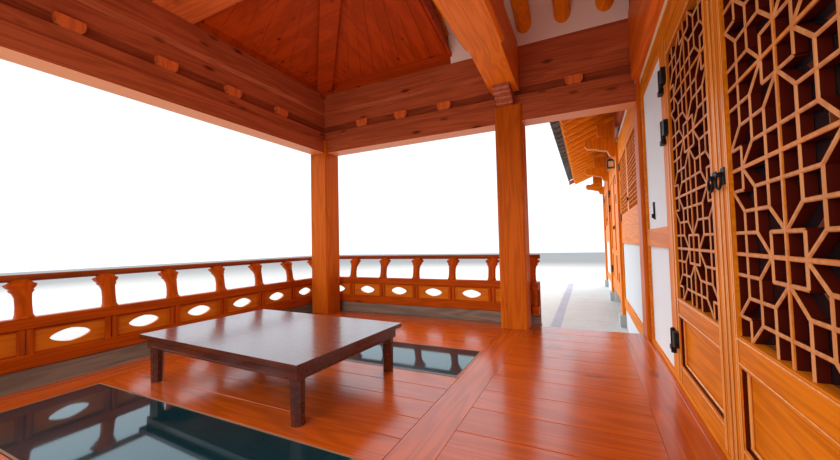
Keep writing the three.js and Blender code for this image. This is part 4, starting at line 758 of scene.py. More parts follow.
def topside(run):
    """Height of the slab's upper face, which hangs in a curve."""
    down = RUN - run
    return underside(RUN) + EAVE_T + SLOPE * down + CURVE * down * down / (2 * RUN)


def ray_spacing(run):
    """How far apart the spread rafters of a corner are."""
    return max(0.01, FAN_HEAD + (FAN_TIP - FAN_HEAD) * (run - FAN_TOP) / (RAFTER_RUN - FAN_TOP))


def ray_offset(k, run):
    """How far a spread rafter is from the hip."""
    return FAN_CLEAR + k * ray_spacing(run)


def lifted(run, offset):
    """How much a corner lifts the roof at a distance from its hip."""
    out = max(0.0, (run - FAN_TOP) / (RUN - FAN_TOP))
    ray = max(-1.0, (offset - FAN_CLEAR) / ray_spacing(run))
    return LIFT * out * max(0.0, 1 - ray / FAN_RAYS) ** 2


class Slope:
    """One roof slope: where a point lies, where its ends are at a run, and which ends are lifted corners."""

    def __init__(self, name, at, ends, low=False, high=False):
        self.name, self.at, self.ends, self.low, self.high = name, at, ends, low, high

    def lift(self, a, run):
        first, last = self.ends(run)
        return max(lifted(run, a - first) if self.low else 0.0, lifted(run, last - a) if self.high else 0.0)

    def top(self, a, run, over=0.0):
        x, y = self.at(a, run)
        return Vector((x, y, topside(run) + self.lift(a, run) + over))

    def inward(self, a):
        (x0, y0), (x1, y1) = self.at(a, RUN), self.at(a, RUN - 1)
        return Vector((x1 - x0, y1 - y0, 0))


FAR = Slope("far", lambda a, run: (a, Y_MID + run), lambda run: (X_APEX - run, X_WING_MID - run), True)
NEAR = Slope("near", lambda a, run: (a, Y_MID - run), lambda run: (X_APEX - run, X_WING_MID + run),
             True, True)
LEFT = Slope("left", lambda a, run: (X_APEX - run, a), lambda run: about(Y_MID, run), True, True)
BACK = Slope("back", lambda a, run: (X_WING_MID + run, a), lambda run: (Y_MID - run, Y_VERGE), True)
COURT = Slope("court", lambda a, run: (X_WING_MID - run, a), lambda run: (Y_MID + run, Y_VERGE))


def tile_runs(slope, a):
    """The stretches, from one run to another, over which a row of tiles lies."""
    hip = X_APEX - a
    if slope is LEFT:
        return [(max(GABLE_RUN, abs(a - Y_MID)), RUN)]
    if slope is BACK:
        return [(max(0.0, Y_MID - a), RUN)]
    if slope is COURT:
        return [(0.0, min(RUN, a - Y_MID))]
    stop = min(RUN, X_WING_MID - a) if slope is FAR else RUN
    if a < X_VERGE:
        return [(hip, stop)]
    if a < X_GABLE:
        return [(0.0, GABLE_RUN), (hip, stop)]
    return [(max(0.0, a - X_WING_MID) if slope is NEAR else 0.0, stop)]


def tile_rows(slope):
    """Places of the rows of cover tiles along the eave, an even pitch apart."""
    reach = {FAR: (X_APEX - RUN, X_WING_MID), NEAR: (X_APEX - RUN, X_WING_MID + RUN), LEFT: about(Y_MID, RUN),
             BACK: (Y_MID - RUN, Y_VERGE), COURT: (Y_MID, Y_VERGE)}
    first, last = reach[slope]
    count = round((last - first) / TILE_PITCH)
    pitch = (last - first) / count
    return [first + pitch * (k + 0.5) for k in range(count)], pitch


def row_stations(start, stop, step):
    """Runs of the tile joints, laid from the eave up."""
    runs = []
    run = stop
    while run > start:
        runs.append((max(start, run - step), run))
        run -= step
    return runs


def cover_row(shape, slope, a, start, stop):
    """Half-round tiles, each over the head of the one below it."""
    steps, taper, raised, foot = 6, 0.01, 0.01, -0.05
    rings = []
    for upper, lower in reversed(row_stations(start, stop, TILE_LENGTH)):
        for run, radius in ((upper, TILE_R - taper), (lower, TILE_R)):
            ring = []
            for k in range(steps + 1):
                turn = math.pi * k / steps
                side = radius * math.cos(turn)
                up = raised + radius * math.sin(turn) if 0 < k < steps else foot
                ring.append(slope.top(a + side, run, up))
            rings.append(ring)
    shape.loft(rings)


def trough_row(shape, slope, a, half, start, stop):
    """Wide hollow tiles between two rows of cover tiles, lapped every half step."""
    lap, hollow, sunk, foot = 0.016, 0.026, 0.02, -0.06
    rings = []
    for upper, lower in reversed(row_stations(start, stop, TROUGH_STEP)):
        for run, up in ((upper, 0.0), (lower, lap)):
            ring = [slope.top(a + half * t, run, up + hollow * t * t - sunk) for t in (-1, -0.5, 0, 0.5, 1)]
            ring += [slope.top(a + half * t, run, foot) for t in (1, -1)]
            rings.append(ring)
    shape.loft(rings)


def eave_disc(shape, slope, a, radius):
    """Round end tile with a raised rim, flush with the roof's edge."""
    centre = slope.top(a, RUN, 0.006)
    inward = slope.inward(a)
    side = Vector((-inward.y, inward.x, 0))
    rings = []
    for depth, part in DISC_RINGS:
        r, middle = radius * part, centre + inward * depth
        rings.append([middle + side * r * math.cos(t) + Vector((0, 0, r * math.sin(t))) for t in turns(14)])
    shape.loft(rings)


def eave_drip(shape, slope, a, half):
    """Crescent apron below the mouth of a trough."""
    inward = slope.inward(a)
    rings = []
    for depth in (0.0005, 0.018):
        upper = [(t, 0.022 * t * t - 0.008) for t in (-1, -0.5, 0, 0.5, 1)]
        lower = [(t, -0.078 * (1 - 0.72 * t * t)) for t in (0.95, 0.5, 0, -0.5, -0.95)]
        rings.append([slope.top(a + half * t, RUN, up) + inward * depth for t, up in upper + lower])
    shape.loft(rings)


def roof_tiles(slope):
    """All the tiles of one slope."""
    shape = Shape()
    rows, pitch = tile_rows(slope)
    shy = 0.02
    for a in rows:
        for start, stop in tile_runs(slope, a):
            if stop - start > SHORT_RUN:
                end = stop - TILE_BACK if stop == RUN else stop - shy
                cover_row(shape, slope, a, start + shy, end)
                if stop == RUN:
                    eave_disc(shape, slope, a, TILE_R + 0.004)
    for a in [row + pitch / 2 for row in rows[:-1]]:
        for start, stop in tile_runs(slope, a):
            if stop - start > SHORT_RUN:
                end = stop - 0.01 if stop == RUN else stop - shy
                trough_row(shape, slope, a, pitch / 2 - 0.04, start + shy, end)
                if stop == RUN:
                    eave_drip(shape, slope, a, pitch / 2 - 0.045)
    piece("tiles_" + slope.name, shape, "tile", smooth=35, replaces=("roof_" + slope.name,))


def stations(slope, run):
    """Places across a slope's bed: its two ends, and the rays of its lifted corners."""
    first = 0.0003
    a0, a1 = slope.ends(run)
    rays = [ray_offset(k, run) for k in range(FAN_RAYS + 1)]
    low = [first, *rays] if slope.low else [first]
    high = [first, *rays] if slope.high else [first]
    return [a0 + d for d in low] + [a1 - d for d in reversed(high)]


def bed_sheet(shape, slope, runs, ends=None):
    """The boards and earth under the tiles, between two runs."""
    def point(i, j):
        run = runs[j]
        a = (ends(run) if ends else stations(slope, run))[i]
        up = 0.0 if ends else slope.lift(a, run)
        return (*slope.at(a, run), underside(run) + up, topside(run) + up - BED_DROP)
    across = len(ends(runs[0]) if ends else stations(slope, runs[0])) - 1
    shape.sheet(across, len(runs) - 1, point)


def roof_bed(slope):
    """Slab that carries one slope's tiles, with its boarded underside."""
    shape = Shape()
    if slope in (BACK, COURT):
        bed_sheet(shape, slope, UPPER_RUNS + LOWER_RUNS)
    else:
        bed_sheet(shape, slope, LOWER_RUNS)
    if slope in (FAR, NEAR):
        bed_sheet(shape, slope, [*UPPER_RUNS, GABLE_RUN - 0.0005], lambda run: [X_VERGE, slope.ends(run)[1]])
    piece("roof_bed_" + slope.name, shape, "soffit")


# Ridges of stacked flat tiles under a half-round row
def ridge_profile(half, layers):
    """Outline of a ridge for a height of 1."""
    side = []
    for k in range(layers):
        low, high = 0.78 * k / layers, 0.78 * (k + 0.72) / layers
        width = half * (1.0 - 0.1 * k / layers)
        side += [(width, low), (width, high), (width - 0.014, high), (width - 0.014, 0.78 * (k + 1) / layers)]
    cap = [(half * 0.72 * math.cos(t), 0.8 + 0.2 * math.sin(t)) for t in (0.0, 0.5, 1.0, math.pi / 2)]
    right = side + cap
    return right + [(-w, h) for w, h in reversed(right[:-1])]


def ridge_sweep(shape, line, steps, section, span=(0.0, 1.0)):
    """Skins a section, which may depend on the ridge's rise, along a line."""
    rings = []
    for i in range(steps + 1):
        x, y, z, nx, ny, rise = line(span[0] + (span[1] - span[0]) * i / steps)
        rings.append([(x + nx * w, y + ny * w, z + h) for w, h in section(rise)])
    shape.loft(rings)


def ridge_band(shape, line, half, height, steps, layers=6):
    profile = ridge_profile(half, layers)
    ridge_sweep(shape, line, steps, lambda rise: [(w, (height + rise) * h) for w, h in profile])


def ridge_bed(shape, line, half, steps, span):
    """Mortar bed under a ridge, which fills the troughs between the tile rows."""
    corners = ((-half, -0.11), (half, -0.11), (half, 0.02), (-half, 0.02))
    ridge_sweep(shape, line, steps, lambda rise: corners, span)


def end_rise(t):
    """Extra height of a ridge towards its end."""
    return 0.12 * min(1.0, max(0.0, t)) ** 2


def roof_ridges():
    """The two main ridges, the verges and the hips."""
    shape = Shape()
    top = topside(0)
    x0 = X_VERGE - 0.03
    y0 = Y_MID - 0.11
    x_span = X_WING_MID + 0.11 - x0
    y_span = Y_VERGE + 0.03 - y0

    def over_hall(u):
        return x0 + u * x_span, Y_MID, top, 0, 1, end_rise(1 - u * x_span / 1.5)

    def over_wing(u):
        return X_WING_MID, y0 + u * y_span, top, 1, 0, end_rise(1 - (1 - u) * y_span / 1.5)

    for line, steps, span in ((over_hall, 14, (0.03, 1.0)), (over_wing, 20, (0.0, 0.985))):
        ridge_band(shape, line, *MAIN_RIDGE, steps)
        ridge_bed(shape, line, 0.09, 4, span)
    head = GABLE_RUN + 0.08

    def verge(at, reach):
        def line(u):
            run = u * reach
            x, y, nx, ny = at(run)
            return x, y, topside(run) + (0.024 if run > FAN_TOP else 0.008), nx, ny, 0.0
        ridge_band(shape, line, *VERGE_RIDGE)

    def hip(x, y, sx, sy, run0):
        def line(u):
            run = run0 + (RUN - 0.06 - run0) * u
            z = topside(run) + lifted(run, 0) + 0.014
            turn = math.sqrt(0.5)
            return x + sx * run, y + sy * run, z, -sy * turn, sx * turn, end_rise(4 * u - 3) * 0.6
        ridge_band(shape, line, *HIP_RIDGE)
        ridge_bed(shape, line, 0.07, HIP_RIDGE[2], (0.0, 0.93))

    for way in (1, -1):
        verge(lambda run: (X_GABLE - 0.06, Y_MID + way * run, 1, 0), head + 0.04)
        verge(lambda run: (X_WING_MID + way * run, Y_VERGE - 0.09, 0, 1), RUN - 0.06)
        hip(X_APEX, Y_MID, -1, way, head)
    hip(X_WING_MID, Y_MID, 1, -1, 0.0)
    piece("ridge_tiles", shape, "tile", replaces=("roof_ridges",))


def fold(k):
    """A line of the lattice as its twin in the quarter."""
    k %= 2 * QUARTER
    return k if k <= QUARTER else 2 * QUARTER - k


def stretches(flags):
    """First and last of each unbroken stretch of set flags."""
    found = []
    for k, flag in enumerate([*flags, False]):
        if flag and (k == 0 or not flags[k - 1]):
            start = k
        if not flag and k and flags[k - 1]:
            found.append((start, k))
    return found


def lattice(shape, y0, y1):
    """Bars of one leaf between two places across it, apart from the main bars that the frame has."""
    col = (y1 - y0) / LATTICE_COLS
    row = (LATTICE_Z[1] - LATTICE_Z[0]) / LATTICE_ROWS

    def at(c, r):
        return y0 + c * col, LATTICE_Z[0] + r * row

    for r in range(1, LATTICE_ROWS):
        if r % QUARTER:
            flags = [ACROSS[fold(r)][min(c, LATTICE_COLS - 1 - c)] == "1" for c in range(LATTICE_COLS)]
            for a, b in stretches(flags):
                eased_bar(shape, at(a, r), at(b, r), LATTICE_X)
    for c in range(1, LATTICE_COLS):
        if c != QUARTER:
            flags = [UPRIGHT[fold(c)][min(r % 8, 7 - r % 8)] == "1" for r in range(LATTICE_ROWS)]
            for a, b in stretches(flags):
                eased_bar(shape, at(c, a), at(c, b), UPRIGHT_X)
    for r in range(LATTICE_ROWS):
        for c in range(LATTICE_COLS):
            for (c0, r0), (c1, r1) in SLANTS:
                ends = [(c, r), (c + 1, r + 1)], [(c, r + 1), (c + 1, r)]
                for (ca, ra), (cb, rb) in ends:
                    if {(fold(ca), fold(ra)), (fold(cb), fold(rb))} == {(c0, r0), (c1, r1)}:
                        eased_bar(shape, at(ca, ra), at(cb, rb), SLANT_X)
    for r in range(QUARTER, LATTICE_ROWS, QUARTER):
        eased_bar(shape, at(0, r), at(LATTICE_COLS, r), MAIN_X, BAR_HALF + 0.0004)
    eased_bar(shape, at(QUARTER, 0), at(QUARTER, LATTICE_ROWS), MAIN_UPRIGHT_X, BAR_HALF + 0.0004)


def eased_bar(shape, start, end, depth, half=BAR_HALF):
    """A bar of the lattice whose two front edges are cut off."""
    along = Vector((end[0] - start[0], end[1] - start[1])).normalized()
    side = Vector((-along.y, along.x))
    section = [(-half, depth[1]), (half, depth[1]), (half, depth[0] + BAR_EASE), (half - BAR_EASE, depth[0]),
               (BAR_EASE - half, depth[0]), (-half, depth[0] + BAR_EASE)]
    shape.loft([[(x, p[0] + side.x * s, p[1] + side.y * s) for s, x in section] for p in (start, end)])


def door_lattices():
    for name, way in LEAVES:
        shape = Shape()
        lattice(shape, *sorted(Y_MID + way * off for off in LEAF_INNER))
        piece("lattice_" + name, shape, "lattice", body="door_leaf_" + name)


def boards(shape, x, y, along, width, posts=()):
    """Boards of about one width over an area, along one axis, that stop short of the posts in it."""
    across = y if along == "x" else x
    count = max(1, round((across[1] - across[0]) / width))
    step = (across[1] - across[0]) / count
    for k in range(count):
        strip = (across[0] + k * step + SEAM, across[0] + (k + 1) * step - SEAM)
        area = (x, strip) if along == "x" else (strip, y)
        for part_x, part_y in clear_of(area, posts):
            eased_board(shape, part_x, part_y, along)


def clear_of(area, posts):
    """An area as pieces that leave out the posts' squares."""
    (x0, x1), (y0, y1) = area
    for px, py in posts:
        a0, a1 = px - POST / 2 - NOTCH, px + POST / 2 + NOTCH
        b0, b1 = py - POST / 2 - NOTCH, py + POST / 2 + NOTCH
        if x0 < a1 and x1 > a0 and y0 < b1 and y1 > b0:
            rest = [p for p in posts if p != (px, py)]
            bands = [((x0, min(x1, a0)), (y0, y1)), ((max(x0, a1), x1), (y0, y1))]
            middle = (max(x0, a0), min(x1, a1))
            bands += [(middle, (y0, min(y1, b0))), (middle, (max(y0, b1), y1))]
            found = []
            for band in bands:
                if band[0][1] - band[0][0] > 0.002 and band[1][1] - band[1][0] > 0.002:
                    found += clear_of(band, rest)
            return found
    return [area]


def eased_board(shape, x, y, along):
    """A board whose two long top edges are rounded off."""
    ease = 0.002
    across = y if along == "x" else x
    reach = x if along == "x" else y
    outline = [(across[0], -FLOOR_T), (across[1], -FLOOR_T), (across[1], -ease), (across[1] - ease, 0.0),
               (across[0] + ease, 0.0), (across[0], -ease)]
    shape.prism(outline, 0 if along == "x" else 1, reach)


def hall_floor():
    """The floor in boards: the lengthwise ones frame the glass and the door side, the rest lie across."""
    left, right, mid = (FLOOR_X[0], GLASS_X[0]), (SEAM_LEFT, SEAM_RIGHT), (GLASS_X[0], SEAM_LEFT)
    near, far = GLASS_Y
    along_y, along_x = Shape(), Shape()
    boards(along_y, left, FLOOR_Y, "y", 0.16, HALL_POSTS)
    boards(along_y, right, FLOOR_Y, "y", 0.2, HALL_POSTS)
    boards(along_y, (SEAM_DOOR, FLOOR_X[1]), FLOOR_Y, "y", 0.2, HALL_POSTS)
    for y in ((FLOOR_Y[0], near[0]), (near[1], far[0]), (far[1], FLOOR_Y[1])):
        boards(along_x, mid, y, "x", 0.19, HALL_POSTS)
    boards(along_x, (SEAM_RIGHT, SEAM_DOOR), FLOOR_Y, "x", 0.24, HALL_POSTS)
    for y in GLASS_Y:
        boards(along_x, (GLASS_X[1], SEAM_LEFT), y, "x", y[1] - y[0])
        for x0, x1 in ((GLASS_X[0], GLASS_X[0] + 0.015), (GLASS_X[1] - 0.015, GLASS_X[1])):
            along_y.box((x0, x1), y, (-FLOOR_T, -0.0123))
        for y0, y1 in ((y[0], y[0] + 0.015), (y[1] - 0.015, y[1])):
            along_y.box(GLASS_X, (y0, y1), (-FLOOR_T, -0.0124))
    piece("floor_boards_lengthwise", along_y, "floor_y", replaces=("hall_floor",))
    piece("floor_boards_across", along_x, "floor_x", replaces=("hall_floor",))


def glass_edges():
    """Pale strips bedded round each glass panel."""
    shape = Shape()
    wide, gap, z = 0.011, 0.001, (-0.0118, 0.0006)
    x0, x1 = GLASS_X
    for y0, y1 in GLASS_Y:
        for x in ((x0 + gap, x0 + wide), (x1 - wide, x1 - gap)):
            shape.box(x, (y0 + gap, y1 - gap), z)
        for y in ((y0 + gap, y0 + wide), (y1 - wide, y1 - gap)):
            shape.box((x0 + wide, x1 - wide), y, z)
    piece("glass_edge_strips", shape, "strip")


class Side:
    """One run of railing: along its length, out from the hall, and up."""

    def __init__(self, along, start, face, way):
        self.along, self.start, self.face, self.way = along, start, face, way

    def at(self, a, out, z):
        here, there = self.start + a, self.face + self.way * out
        return (there, here, z) if self.along == "y" else (here, there, z)

    def box(self, shape, a, out, z, chamfer=0.0):
        first, last = self.at(a[0], out[0], z[0]), self.at(a[1], out[1], z[1])
        shape.box(*[tuple(sorted(pair)) for pair in zip(first, last)], chamfer)


def eye_panel(shape, side, middle, half, out):
    """A panel between two dividers with a pointed eye cut through it."""
    count = 24
    z_mid = (SILL_Z + PANEL_Z) / 2
    z_half = (PANEL_Z - SILL_Z) / 2 + 0.003
    rings = []
    for depth in out:
        inner, outer = [], []
        for turn in turns(count):
            c, s = math.cos(turn), math.sin(turn)
            lens = 1 - 0.1 * abs(math.sin(2 * turn))
            inner.append(side.at(middle + EYE_HALF * c * lens, depth, z_mid + EYE_HIGH * s * lens))
            stretch = 1 / max(abs(c), abs(s))
            outer.append(side.at(middle + half * c * stretch, depth, z_mid + z_half * s * stretch))
        rings.append((inner, outer))
    (in0, out0), (in1, out1) = rings
    faces = []
    for k in range(count):
        j = (k + 1) % count
        for a, b in ((0, 1), (1, 3), (3, 2), (2, 0)):
            faces.append((a * count + k, a * count + j, b * count + j, b * count + k))
    shape.add(in0 + out0 + in1 + out1, faces)


def baluster(shape, side, middle):
    """Curved stem with a spreading foot and a capital of petals."""
    rings = []
    for z, out, half_out, half_along, cut in BALUSTER:
        ring = []
        for turn in turns(20):
            c, s = math.cos(turn), math.sin(turn)
            square = 1 / (abs(c) ** 4 + abs(s) ** 4) ** 0.25
            petal = 1 - cut * (0.5 - 0.5 * math.cos(5 * turn))
            swell = square * petal
            ring.append(side.at(middle + half_along * c * swell, out + half_out * s * swell, z))
        rings.append(ring)
    shape.loft(rings)


def railing(name, side, length, first, step, panels):
    """Rails, eye panels, dividers, balusters and the round handrail of one side."""
    shape, uprights, panel, hand = Shape(), Shape(), Shape(), Shape()
    out = (RAIL_IN, RAIL_IN + RAIL_T)
    mid = (RAIL_IN + 0.022, RAIL_IN + RAIL_T - 0.022)
    side.box(shape, (0, length), out, (FOOT_Z, SILL_Z), 0.005)
    side.box(shape, (0, length), out, (PANEL_Z, BAND_Z), 0.006)
    places = [first + k * step for k in range(panels + 1)]
    for k in range(panels):
        eye_panel(panel, side, places[k] + step / 2, step / 2 - 0.02, mid)
        for z in ((SILL_Z - 0.002, SILL_Z + 0.01), (PANEL_Z - 0.01, PANEL_Z + 0.002)):
            side.box(shape, (places[k], places[k + 1]), (mid[0] - 0.008, mid[0]), z)
    for end in ((0, first - 0.02), (places[-1] + 0.02, length)):
        if end[1] - end[0] > 0.02:
            side.box(panel, end, mid, (SILL_Z - 0.003, PANEL_Z + 0.003))
    for place in places:
        if place < -DIVIDER_HALF / 2:
            continue
        place = min(length - DIVIDER_HALF, max(DIVIDER_HALF, place))
        for a in ((place - DIVIDER_HALF, place - 0.004), (place + 0.004, place + DIVIDER_HALF)):
            side.box(uprights, a, (out[0] + 0.006, out[1] - 0.006), (SILL_Z - 0.004, PANEL_Z + 0.004), 0.004)
        baluster(uprights, side, min(length - 0.08, max(0.08, place)))
    rod = [side.at(a, HAND_OUT, HAND_Z) for a in (0.0, 0.004, length - 0.004, length)]
    hand.tube(rod, [HAND_R - 0.004, HAND_R, HAND_R, HAND_R - 0.004], 16)
    parts = (("_panels", panel, "rail_panel", 30), ("_hand", hand, "handrail", 30),
             ("_rails", shape, "railing", 30), ("_uprights", uprights, "railing_z", 50))
    for part, made, look, smooth in parts:
        piece(name + part, made, look, smooth=smooth, replaces=(name,))


def railings():
    """The left side's railing, and the far and near ones with their returns by the entry."""
    reach = HAND_OUT + HAND_R
    length = SPAN - POST + 2 * reach
    left = Side("y", Y_INNER_NEAR - reach, 0.0, -1)
    step, count = LEFT_PANELS
    railing("railing_left", left, length, (length - count * step) / 2, step, count)
    start = -RAIL_IN + 0.0013
    length = RETURN_X - start
    step, count = SIDE_PANELS
    for name, face, way in (("railing_far", Y_INNER_FAR, 1), ("railing_near", Y_INNER_NEAR, -1)):
        side = Side("x", start, face, way)
        railing(name, side, length, length - DIVIDER_HALF - count * step, step, count)
        shape = Shape()
        run = (length - 0.06, length)
        back = (RETURN_IN, RAIL_IN + 0.01)
        for z in ((FOOT_Z, SILL_Z), (PANEL_Z, BAND_Z)):
            side.box(shape, run, back, z, 0.004)
        for out in ((RETURN_IN, RETURN_IN + 0.03), (0.3, RAIL_IN + 0.01)):
            side.box(shape, (run[0] + 0.018, run[1] - 0.018), out, (SILL_Z - 0.002, PANEL_Z + 0.002))
        piece(name + "_return", shape, "railing", replaces=(name,))


# Rafters, as in the model's source but round
def rafter(shape, slope, a0, run0, a1, run1, head=1.0):
    """A round log from one place along the eave and run to another, its head thinner by a factor."""
    def place(t):
        return a0 + (a1 - a0) * t, run0 + (run1 - run0) * t

    def roof_lift(t):
        a, run = place(t)
        return min(slope.lift(a + d, run) for d in (-0.08, 0, 0.08)) * 0.88 - 0.012

    rise = max(0.0, min(roof_lift(t) / t for t in (0.25, 0.4, 0.55, 0.7, 0.85, 1)))
    radius = RAFTER_D / 2
    path, radii = [], []
    for t in (0, 0.3, 0.6, 0.992, 1):
        a, run = place(t)
        x, y = slope.at(a, run)
        path.append((x, y, underside(run) - 0.0006 - RAFTER_HALF_H + rise * t))
        radii.append(radius * (head + (1 - head) * min(1, t / 0.6)) * (0.9 if t == 1 else 1))
    shape.tube(path, radii, 14)


def fan(shape, slope, end, top=FAN_TOP):
    """Rafters that spread towards a corner, at the slope's first end (0) or its last one (1)."""
    way = -1 if end else 1
    for k in range(FAN_RAYS):
        a0, a1 = (slope.ends(run)[end] + way * ray_offset(k, run) for run in (top, RAFTER_END))
        rafter(shape, slope, a0, top, a1, RAFTER_END, 0.6)


def rafter_row(shape, slope, first, last, head=lambda a: FAN_TOP, tip=lambda a: RAFTER_END, step=RAFTER_STEP):
    """Rafters side by side, from where their heads are to their tips."""
    a = first
    while a <= last + 0.001:
        rafter(shape, slope, a, head(a), a, tip(a))
        a += step


def eave_board(shape, slope, first, last=None):
    """Board that ties the rafters' tips together."""
    runs = (RAFTER_END - 0.075, RAFTER_END - 0.005)

    def line(run):
        a0, a1 = slope.ends(run)
        rays = [ray_offset(k, run) for k in range(1, FAN_RAYS + 1)]
        low = [first, *rays] if slope.low else [first]
        high = [*reversed(rays), first] if slope.high else [first if last is None else last]
        return [a0 + d for d in low] + [a1 - d for d in high]

    def point(i, j):
        a = line(runs[j])[i]
        z = underside(runs[j]) + slope.lift(a, runs[j])
        return (*slope.at(a, runs[j]), z - 0.066, z - 0.02)

    shape.sheet(len(line(runs[0])) - 1, 1, point)


def rafters():
    """The rafters of all five slopes, over the hall and over the wing."""
    def made(name, shape, look, node):
        piece(f"rafters_{name}_round", shape, look, smooth=40, replaces=("rafters_" + node,))

    def head(x):
        return 0.07 if CEILING_X + 0.2 < x < X_DOOR else CEILING_HEAD

    inner = Shape()
    fan(inner, FAR, 0, CEILING_HEAD)
    rafter_row(inner, FAR, FIRST_X, LAST_X, head, lambda x: min(RAFTER_END, X_WING_MID - x - 0.06))
    eave_board(inner, FAR, EAVE_FIRST, 0.0)
    made("far", inner, "rafter_y", "inner")
    court = Shape()
    rafter_row(court, COURT, Y_FAR + 0.34, Y_VERGE - 0.15, tip=lambda y: min(RAFTER_END, y - Y_MID - 0.06))
    eave_board(court, COURT, 0.0, 0.06)
    valley = []
    for run in (FAN_TOP, RAFTER_END):
        valley.append((X_WING_MID - run, Y_MID + run, underside(run) - 0.0016 - RAFTER_HALF_H))
    court.tube(valley, [RAFTER_D / 2] * 2, 14)
    made("court", court, "rafter_x", "inner")
    near = Shape()
    fan(near, NEAR, 0, CEILING_HEAD)
    fan(near, NEAR, 1)
    rafter_row(near, NEAR, FIRST_X, LAST_X, head)
    rafter_row(near, NEAR, LAST_X + NEAR_STEP, X_WING_MID + 0.76, step=NEAR_STEP)
    eave_board(near, NEAR, EAVE_FIRST)
    made("near", near, "rafter_y", "near")
    left = Shape()
    for end in (0, 1):
        fan(left, LEFT, end, CEILING_HEAD)
    for k in (-2, -1, 0, 1, 2):
        y, start = Y_MID + k * RAFTER_STEP, CEILING_HEAD if k else HALF_SPAN + 0.11
        rafter(left, LEFT, y, start, y, RAFTER_END)
    eave_board(left, LEFT, EAVE_FIRST)
    made("left", left, "rafter_x", "left")
    back = Shape()
    fan(back, BACK, 0)
    rafter_row(back, BACK, Y_MID - 0.75, Y_VERGE - 0.15)
    eave_board(back, BACK, EAVE_FIRST, 0.06)
    made("back", back, "rafter_x", "back")


# Boarded ceiling: boards that run together at the peak
def fan_boards(shape, start, end, count):
    """Boards from an edge of the ceiling up to its peak, with a seam between each two."""
    start, end = Vector(start), Vector(end)
    down = (end - start).cross(PEAK - start).normalized()
    if down.z > 0:
        down = -down
    for k in range(count):
        seam = 0.0016 / (end - start).length
        a, b = k / count + seam, (k + 1) / count - seam
        ends = [start.lerp(end, t) for t in (a, b)]
        tips = [PEAK.lerp(p, BOARD_NEAR) for p in ends]
        low = [down * 0.009, down * 0.011][k % 2]
        top = [p + down * 0.0005 for p in (ends[0], ends[1], tips[1], tips[0])]
        shape.loft([top, [p + low for p in top]])


def ceiling_boards():
    """The ceiling's far and near sides and its left side."""
    far, near = -BOARD_EDGE, 2 * Y_MID + BOARD_EDGE
    left, right = BOARD_EDGE, PEAK.x
    along_y, along_x = Shape(), Shape()
    for y in (far, near):
        fan_boards(along_y, (left, y, BOARD_Z), (right, y, BOARD_Z), 9)
    fan_boards(along_x, (left, near, BOARD_Z), (left, far, BOARD_Z), 18)
    piece("ceiling_boards_sides", along_y, "ceiling_y")
    piece("ceiling_boards_left", along_x, "ceiling_x")


def ceiling_plaster():
    """Pale plaster between the rafters over the entry bay, and its band above the purlins."""
    shape = Shape()
    xs, runs = (CEILING_X + 0.027, X_DOOR - 0.15), (0.02, 0.6, 1.2, 1.83)
    foot_run, top_run, thick = 1.863, 1.79, 0.02
    for way in (1, -1):
        def point(i, j):
            under = underside(runs[j])
            return xs[i], Y_MID + way * runs[j], under - 0.012, under - 0.003

        shape.sheet(1, len(runs) - 1, point)
        foot, top = Y_MID + way * foot_run, Y_MID + way * top_run
        low, high, deep = PURLIN_TOP + 0.0005, underside(top_run) - 0.006, way * thick
        outline = [(foot, low), (foot + deep, low), (top + deep, high), (top, high)]
        shape.prism(outline, 0, (xs[0] - 0.02, xs[1]))
    piece("entry_ceiling_plaster", shape, "ceiling_plaster")


# Ironwork of the doors
def hinge_plate(shape, hinge, way, wide, z):
    """A flat plate beside a pin, on the leaf or on the jamb."""
    plate = sorted((hinge + way * 0.012, hinge + way * wide))
    shape.box((PIN_X - 0.008, LEAF_FRONT - 0.0012), plate, z, 0.003)


def leaf_iron(name, hinge, meet, body):
    """Hinge plates and knuckles of one leaf, and its pull ring by the meeting line."""
    way = 1 if meet > hinge else -1
    shape = Shape()
    for low, high in HINGE_Z:
        pin = [(PIN_X, hinge, z) for z in (low - 0.001, low + 0.002, high, high + 0.007)]
        shape.tube(pin, [PIN_R - 0.0005, PIN_R, PIN_R, 0.006], 14)
        hinge_plate(shape, hinge, way, 0.078, (low + 0.006, high - 0.006))
    middle, boss_z = meet - way * RING_IN, RING_Z + RING_R
    shape.box((LEAF_FRONT - 0.006, LEAF_FRONT - 0.0006), about(middle, 0.022), ROSE_Z, 0.004)
    shape.tube([(LEAF_FRONT - depth, middle, boss_z) for depth in (0.024, 0.004)], [0.008, 0.01], 12)
    centre = Vector((LEAF_FRONT - 0.017, middle, RING_Z))
    torus(shape, [centre + RING_R * Vector((0, math.sin(t), math.cos(t))) for t in turns(20)], centre, 0.0045)
    piece(name, shape, "iron", body=body, smooth=35)


def torus(shape, centres, middle, radius):
    """A ring of round section through the given centres."""
    axis = Vector((1, 0, 0))
    sides = 8
    points = []
    for centre in centres:
        out = (centre - middle).normalized()
        for turn in turns(sides):
            points.append(centre + radius * (out * math.cos(turn) + axis * math.sin(turn)))
    count = len(centres)
    faces = []
    for i in range(count):
        for k in range(sides):
            a, b = i * sides, (i + 1) % count * sides
            j = (k + 1) % sides
            faces.append((a + k, a + j, b + j, b + k))
    shape.add(points, faces)


def frame_iron():
    """The hinges' fixed halves on the jambs, and the slotted bracket on the far plaster."""
    shape = Shape()
    for hinge, way in FRAME_SIDES.items():
        for low, _ in HINGE_Z:
            shape.tube([(PIN_X, hinge, low - 0.038), (PIN_X, hinge, low - 0.0025)], [PIN_R, PIN_R], 14)
            hinge_plate(shape, hinge, way, 0.066, (low - 0.034, low - 0.0035))
    shape.box((3.4195, 3.4306), (-0.352, -0.33), (0.99, 1.12), 0.003)
    shape.box((3.408, 3.4195), (-0.346, -0.336), (1.0, 1.03), 0.002)
    piece("jamb_iron", shape, "iron", smooth=35)


